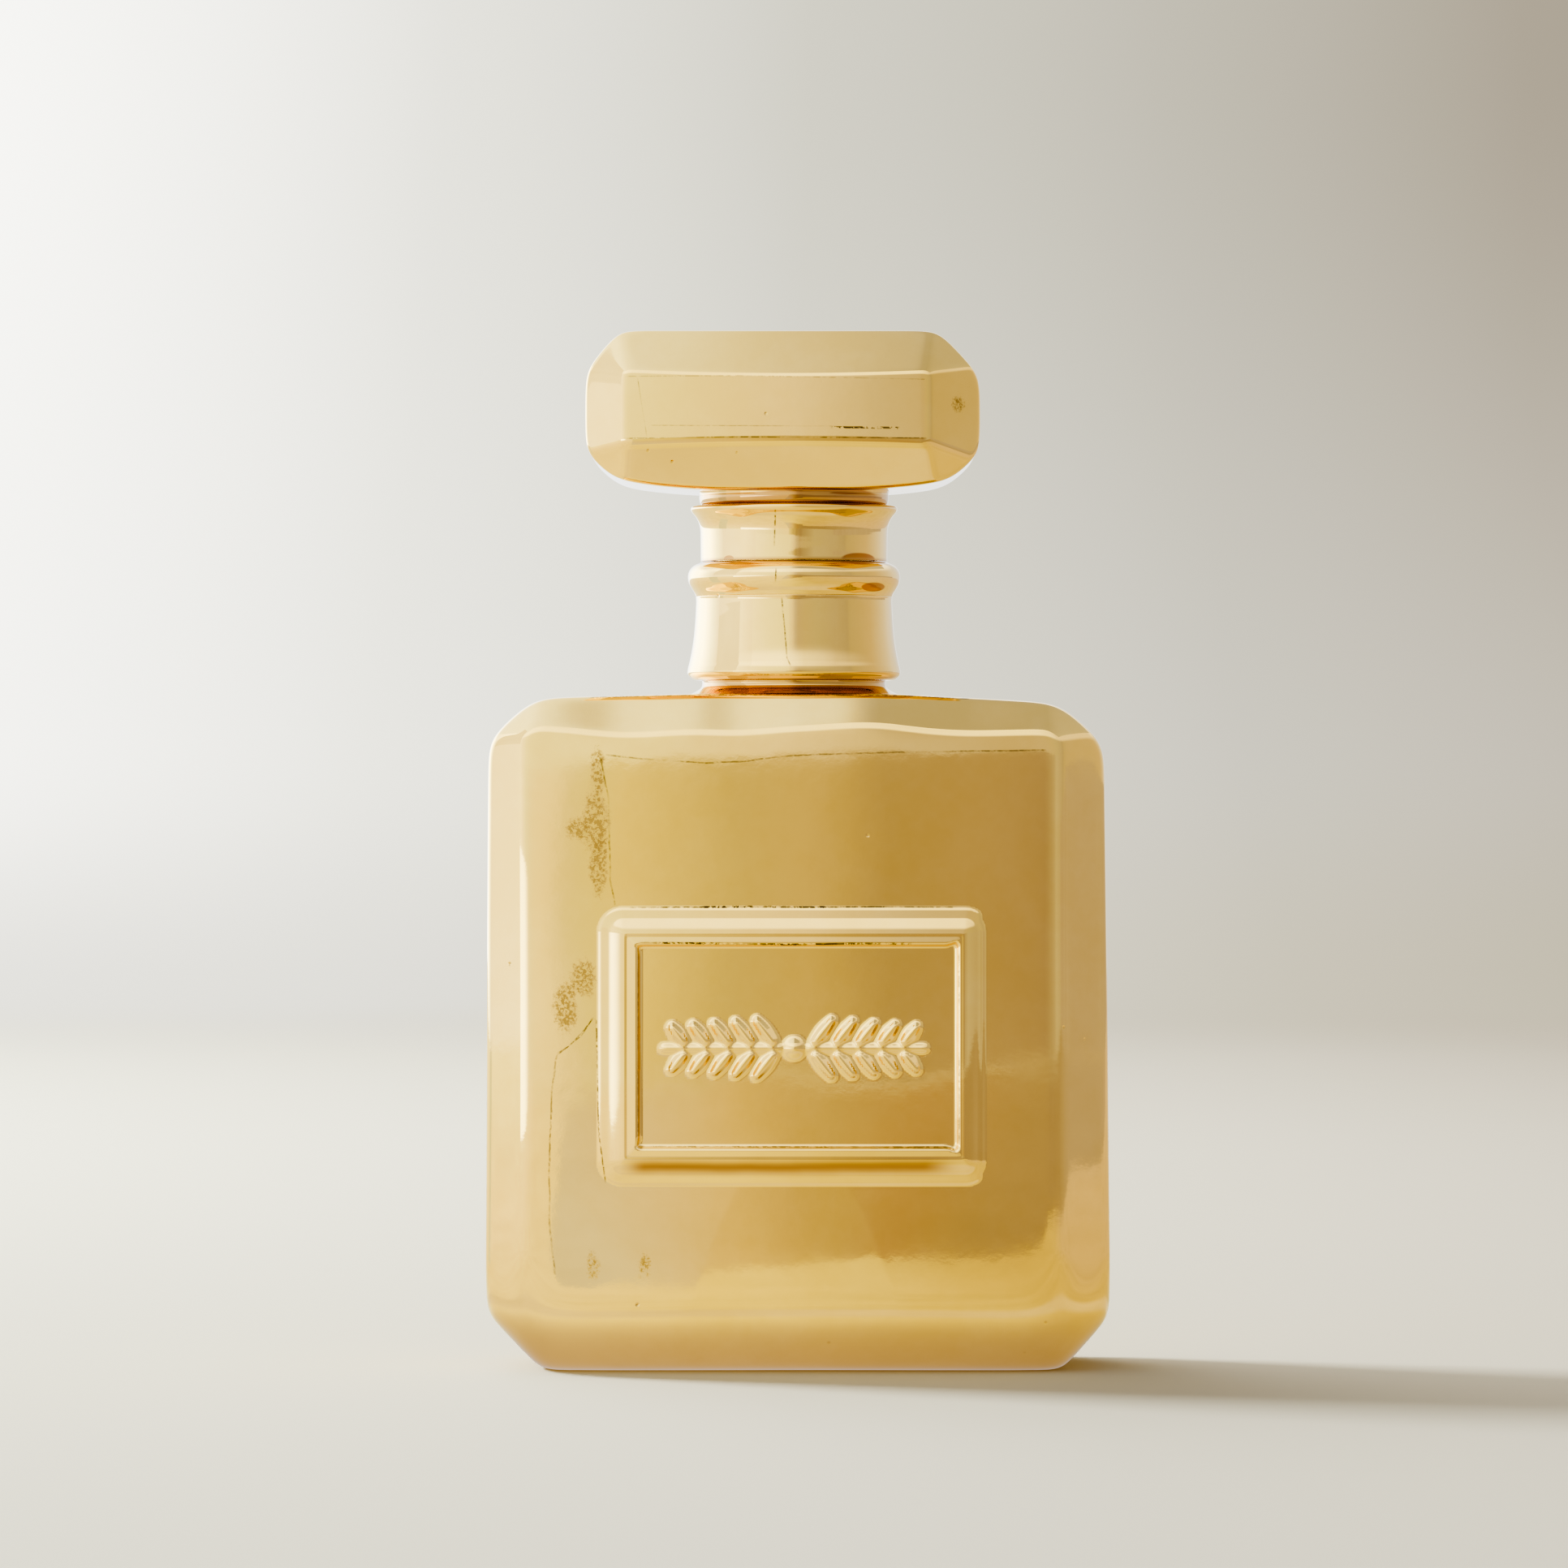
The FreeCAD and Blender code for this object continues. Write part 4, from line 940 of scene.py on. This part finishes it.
def near_floor():
    """The lit floor round the bottle, darker where the bottle shades it."""
    m = Nodes("near_floor")
    x, y, z = m.axes()
    c = m.ramp(x, -1.5, 1.5, [
        (-1.5, (1.8, 1.85, 1.4)), (-0.5, (1.6, 1.5, 1.1)), (-0.06, (1.34, 1.26, 0.76)), (-0.015, (1.28, 1.20, 0.54)), (0.012, (1.04, 0.96, 0.44)),
        (0.06, (0.84, 0.73, 0.34)), (0.34, (0.84, 0.72, 0.54)), (0.9, (0.84, 0.72, 0.60)), (1.5, (0.8, 0.7, 0.62))])
    cloud = m.remap(m.noise(16.0, 4.0, 0.6), 0.25, 0.75, 0.90, 1.10)
    qx = m.math("MAXIMUM", m.math("SUBTRACT", m.math("ABSOLUTE", x), 0.034), 0.0)
    qy = m.math("MAXIMUM", m.math("SUBTRACT", m.math("ABSOLUTE", y), 0.012), 0.0)
    d = m.math("SQRT", m.math("ADD", m.math("MULTIPLY", qx, qx), m.math("MULTIPLY", qy, qy)))
    shade = m.remap(d, 0.0, 0.034, 0.0, 1.0, smooth=True)
    az = m.azimuth(x, y)
    band = m.math("MULTIPLY", m.remap(m.math("ABSOLUTE", m.math("ADD", az, 99.0)), 8.0, 6.0), m.remap(x, -0.20, -0.24))
    c = m.mix(m.math("MULTIPLY", band, 0.9), c, (1.1 / 6, 1.2 / 6, 1.1 / 6, 1))
    ring = m.math("MULTIPLY", m.remap(d, 0.028, 0.042, smooth=True), m.remap(d, 0.075, 0.055, smooth=True))
    c = m.mix(m.math("MULTIPLY", ring, 0.6), c, (1.04 / 6, 0.97 / 6, 0.80 / 6, 1))
    under = m.mix(m.remap(x, -0.035, 0.035), (0.64 / 6, 0.54 / 6, 0.50 / 6, 1), (0.46 / 6, 0.38 / 6, 0.35 / 6, 1))
    c = m.mix(shade, under, c)
    return emission(m, c, m.math("MULTIPLY", cloud, PEAK))


def far_floor():
    m = Nodes("far_floor")
    x, y, z = m.axes()
    az = m.azimuth(x, y)
    c = m.ramp(az, -40.0, 180.0, [
        (-40, (1.3, 1.3, 1.1)), (-11, (0.95, 0.95, 0.85)), (-8.5, (0.98, 0.98, 0.90)), (-5.4, (0.98, 0.92, 0.74)), (-1.5, (0.88, 0.76, 0.44)), (0.8, (0.64, 0.55, 0.36)),
        (3.6, (0.55, 0.43, 0.31)), (7.0, (0.48, 0.41, 0.34)), (11.0, (0.44, 0.375, 0.34)), (32, (0.45, 0.385, 0.34)), (56, (0.50, 0.44, 0.40)), (86, (0.54, 0.49, 0.50)),
        (107, (0.62, 0.55, 0.58)), (180, (0.6, 0.58, 0.66))])
    cloud = m.remap(m.noise(11.0, 4.0, 0.6), 0.25, 0.75, 0.92, 1.08)
    return emission(m, c, m.math("MULTIPLY", cloud, PEAK))


lit = stage_object("near_floor_panel", [(-1500, -1299, -0.5), (1500, -1299, -0.5), (1500, 2500, -0.5), (-1500, 2500, -0.5)], [(0, 1, 2, 3)], near_floor())
only_reflected(lit)

# The lit floor ends along a ragged line, and the floor beyond it is toned
line = [(-53, -232), (-39, -245), (-20, -252), (-4, -274), (10, -310), (26, -344), (45, -356), (61, -368), (76, -420), (92, -495),
        (150, -520), (293, -474), (560, -260), (800, -60), (924, 88), (1100, 300), (1500, 600)]
rng = np.random.RandomState(5)
edge = []
for (ax, ay), (bx, by) in zip(line, line[1:]):
    n = max(2, int(math.hypot(bx - ax, by - ay) / 2.2))
    for k in range(n):
        t = k / n
        edge.append([ax + (bx - ax) * t, ay + (by - ay) * t])
edge.append(list(line[-1]))
walk = np.zeros((len(edge), 2))
for k in range(1, len(edge)):
    walk[k] = walk[k - 1] * 0.80 + rng.normal(size=2) * (1.9 if edge[k][0] > 40 else 1.1)
walk[0] = 0
edge = [(x + w[0] * 0.4, y + w[1]) for (x, y), w in zip(edge, walk)]
corners = [(1500, -1299), (-153, -1299)]
verts = [(x, y, -0.2) for x, y in edge + corners]
dark_floor = stage_object("far_floor_panel", verts, [tuple(range(len(verts)))], far_floor())
only_reflected(dark_floor)


def ceiling():
    m = Nodes("ceiling_panel")
    x, y, z = m.axes()
    c = m.ramp(x, -0.9, 0.9, [
        (-0.9, (2.2, 2.4, 2.6)), (-0.10, (1.62, 1.74, 1.72)), (-0.06, (1.54, 1.65, 1.61)), (-0.040, (1.47, 1.58, 1.55)), (-0.026, (1.35, 1.44, 1.41)), (-0.012, (1.17, 1.22, 1.16)),
        (0.002, (0.98, 0.99, 0.93)), (0.016, (0.83, 0.84, 0.86)), (0.030, (0.72, 0.735, 0.81)), (0.048, (0.63, 0.64, 0.72)), (0.07, (0.58, 0.59, 0.66)),
        (0.3, (0.56, 0.57, 0.62)), (0.9, (0.7, 0.7, 0.7))])
    return emission(m, c, PEAK)


roof = stage_object("ceiling_panel", [(-900, -500, 760), (900, -500, 760), (900, 900, 760), (-900, 900, 760)], [(3, 2, 1, 0)], ceiling())
only_reflected(roof)


def card(name, colour, near=None):
    m = Nodes(name)
    c = tuple(v / PEAK for v in colour) + (1,)
    if near:
        x, y, z = m.axes()
        c = m.mix(m.remap(x, -0.50, -0.72, smooth=True), tuple(v / PEAK for v in near) + (1,), c)
    c = m.mix(m.remap(m.noise(6.0, 3.0, 0.5), 0.3, 0.7, 0.0, 0.12), c, (0.15, 0.15, 0.15, 1))
    return emission(m, c, PEAK)


# A low white card to the front left, a grey flag high on the left, and a toned card low on the right
white = stage_object("white_card", [(-480, -1290, 1), (-800, -300, 1), (-800, -300, 75), (-480, -1290, 75)], [(0, 1, 2, 3)], card("white_card", (3.7, 4.0, 4.6), (1.6, 1.6, 1.25)))
flag = stage_object("grey_flag", [(-700, -312, 178), (-700, 98, 178), (-700, 98, 1200), (-700, -312, 1200)], [(0, 1, 2, 3)], card("grey_flag", (1.65, 1.68, 1.60)))
toned = stage_object("toned_card", [(1490, -1299, 1), (1490, 1500, 1), (1490, 1500, 104), (1490, -1299, 104)], [(0, 1, 2, 3)], card("toned_card", (0.55, 0.50, 0.52)))
for ob in (white, flag, toned):
    only_reflected(ob)


def area(name, location, target, size, power, colour, spread=180.0):
    data = bpy.data.lights.new(name, "AREA")
    data.shape = "RECTANGLE"
    data.size, data.size_y = size
    data.energy = power
    data.color = colour
    data.spread = math.radians(spread)
    ob = bpy.data.objects.new(name, data)
    ob.location = location
    direction = Vector(target) - Vector(location)
    ob.rotation_euler = direction.to_track_quat("-Z", "Y").to_euler()
    scene.collection.objects.link(ob)
    return ob


key = area("key_light", (-1.25, 0.70, 0.80), (0.0, 0.0, 0.05), (0.42, 0.42), 54.0, (0.87, 0.918, 0.915))
key.visible_glossy = False

world = bpy.data.worlds.new("studio")
scene.world = world
world.use_nodes = True
wt = world.node_tree
wt.nodes.clear()


def world_nodes():
    """One plain pale room for the camera and for soft light, and one for reflections, which goes from white on the left to tan on the right."""
    m = Nodes.__new__(Nodes)
    m.tree = wt
    m.out = wt.nodes.new("ShaderNodeOutputWorld")
    m.coord = wt.nodes.new("ShaderNodeTexCoord")
    x, y, z = m.axes("Generated")
    az = m.azimuth(x, y)
    c = m.ramp(az, -180.0, 180.0, [
        (-180, (1.5, 1.55, 1.6)), (-165, (2.9, 3.2, 3.5)), (-148, (4.8, 5.2, 5.6)), (-128, (5.0, 5.3, 5.8)), (-111, (2.7, 3.0, 3.3)), (-98, (1.88, 1.92, 2.0)),
        (-64, (2.05, 2.1, 1.95)), (-50, (1.78, 1.8, 1.62)), (-36, (1.58, 1.6, 1.48)), (-21, (1.36, 1.44, 1.15)), (-3, (1.12, 1.12, 0.85)), (14, (0.90, 0.90, 0.74)),
        (31, (0.66, 0.66, 0.58)), (52, (0.60, 0.57, 0.54)), (65, (0.55, 0.52, 0.49)), (68.5, (0.62, 0.58, 0.48)), (100, (0.74, 0.66, 0.54)), (140, (0.98, 0.98, 1.05)),
        (165, (0.92, 0.93, 0.96)), (180, (1.5, 1.55, 1.6))])
    above = m.ramp(az, -180.0, 180.0, [
        (-180, (2.0, 2.1, 2.3)), (-100, (3.0, 3.2, 3.3)), (-50, (2.5, 2.6, 2.5)), (0, (1.9, 1.95, 1.7)), (50, (1.15, 1.1, 0.94)), (110, (1.1, 1.05, 0.95)), (180, (2.0, 2.1, 2.3))])
    c = m.mix(m.remap(z, 0.30, 0.48, smooth=True), c, above)
    seen = wt.nodes.new("ShaderNodeLightPath")
    mirrored = wt.nodes.new("ShaderNodeBackground")
    m.put(mirrored.inputs["Color"], c)
    mirrored.inputs["Strength"].default_value = PEAK
    soft = wt.nodes.new("ShaderNodeBackground")
    soft.inputs["Color"].default_value = (1.0, 0.968, 0.935, 1)
    m.put(soft.inputs["Strength"], m.remap(x, -1.0, 1.0, 0.73, 0.330, smooth=True))
    both = wt.nodes.new("ShaderNodeMixShader")
    m.link(seen.outputs["Is Glossy Ray"], both.inputs[0])
    m.link(soft.outputs[0], both.inputs[1])
    m.link(mirrored.outputs[0], both.inputs[2])
    m.link(both.outputs[0], m.out.inputs["Surface"])


world_nodes()

scene.view_settings.view_transform = "AgX"
scene.view_settings.look = "AgX - High Contrast"

bpy.context.view_layer.update()
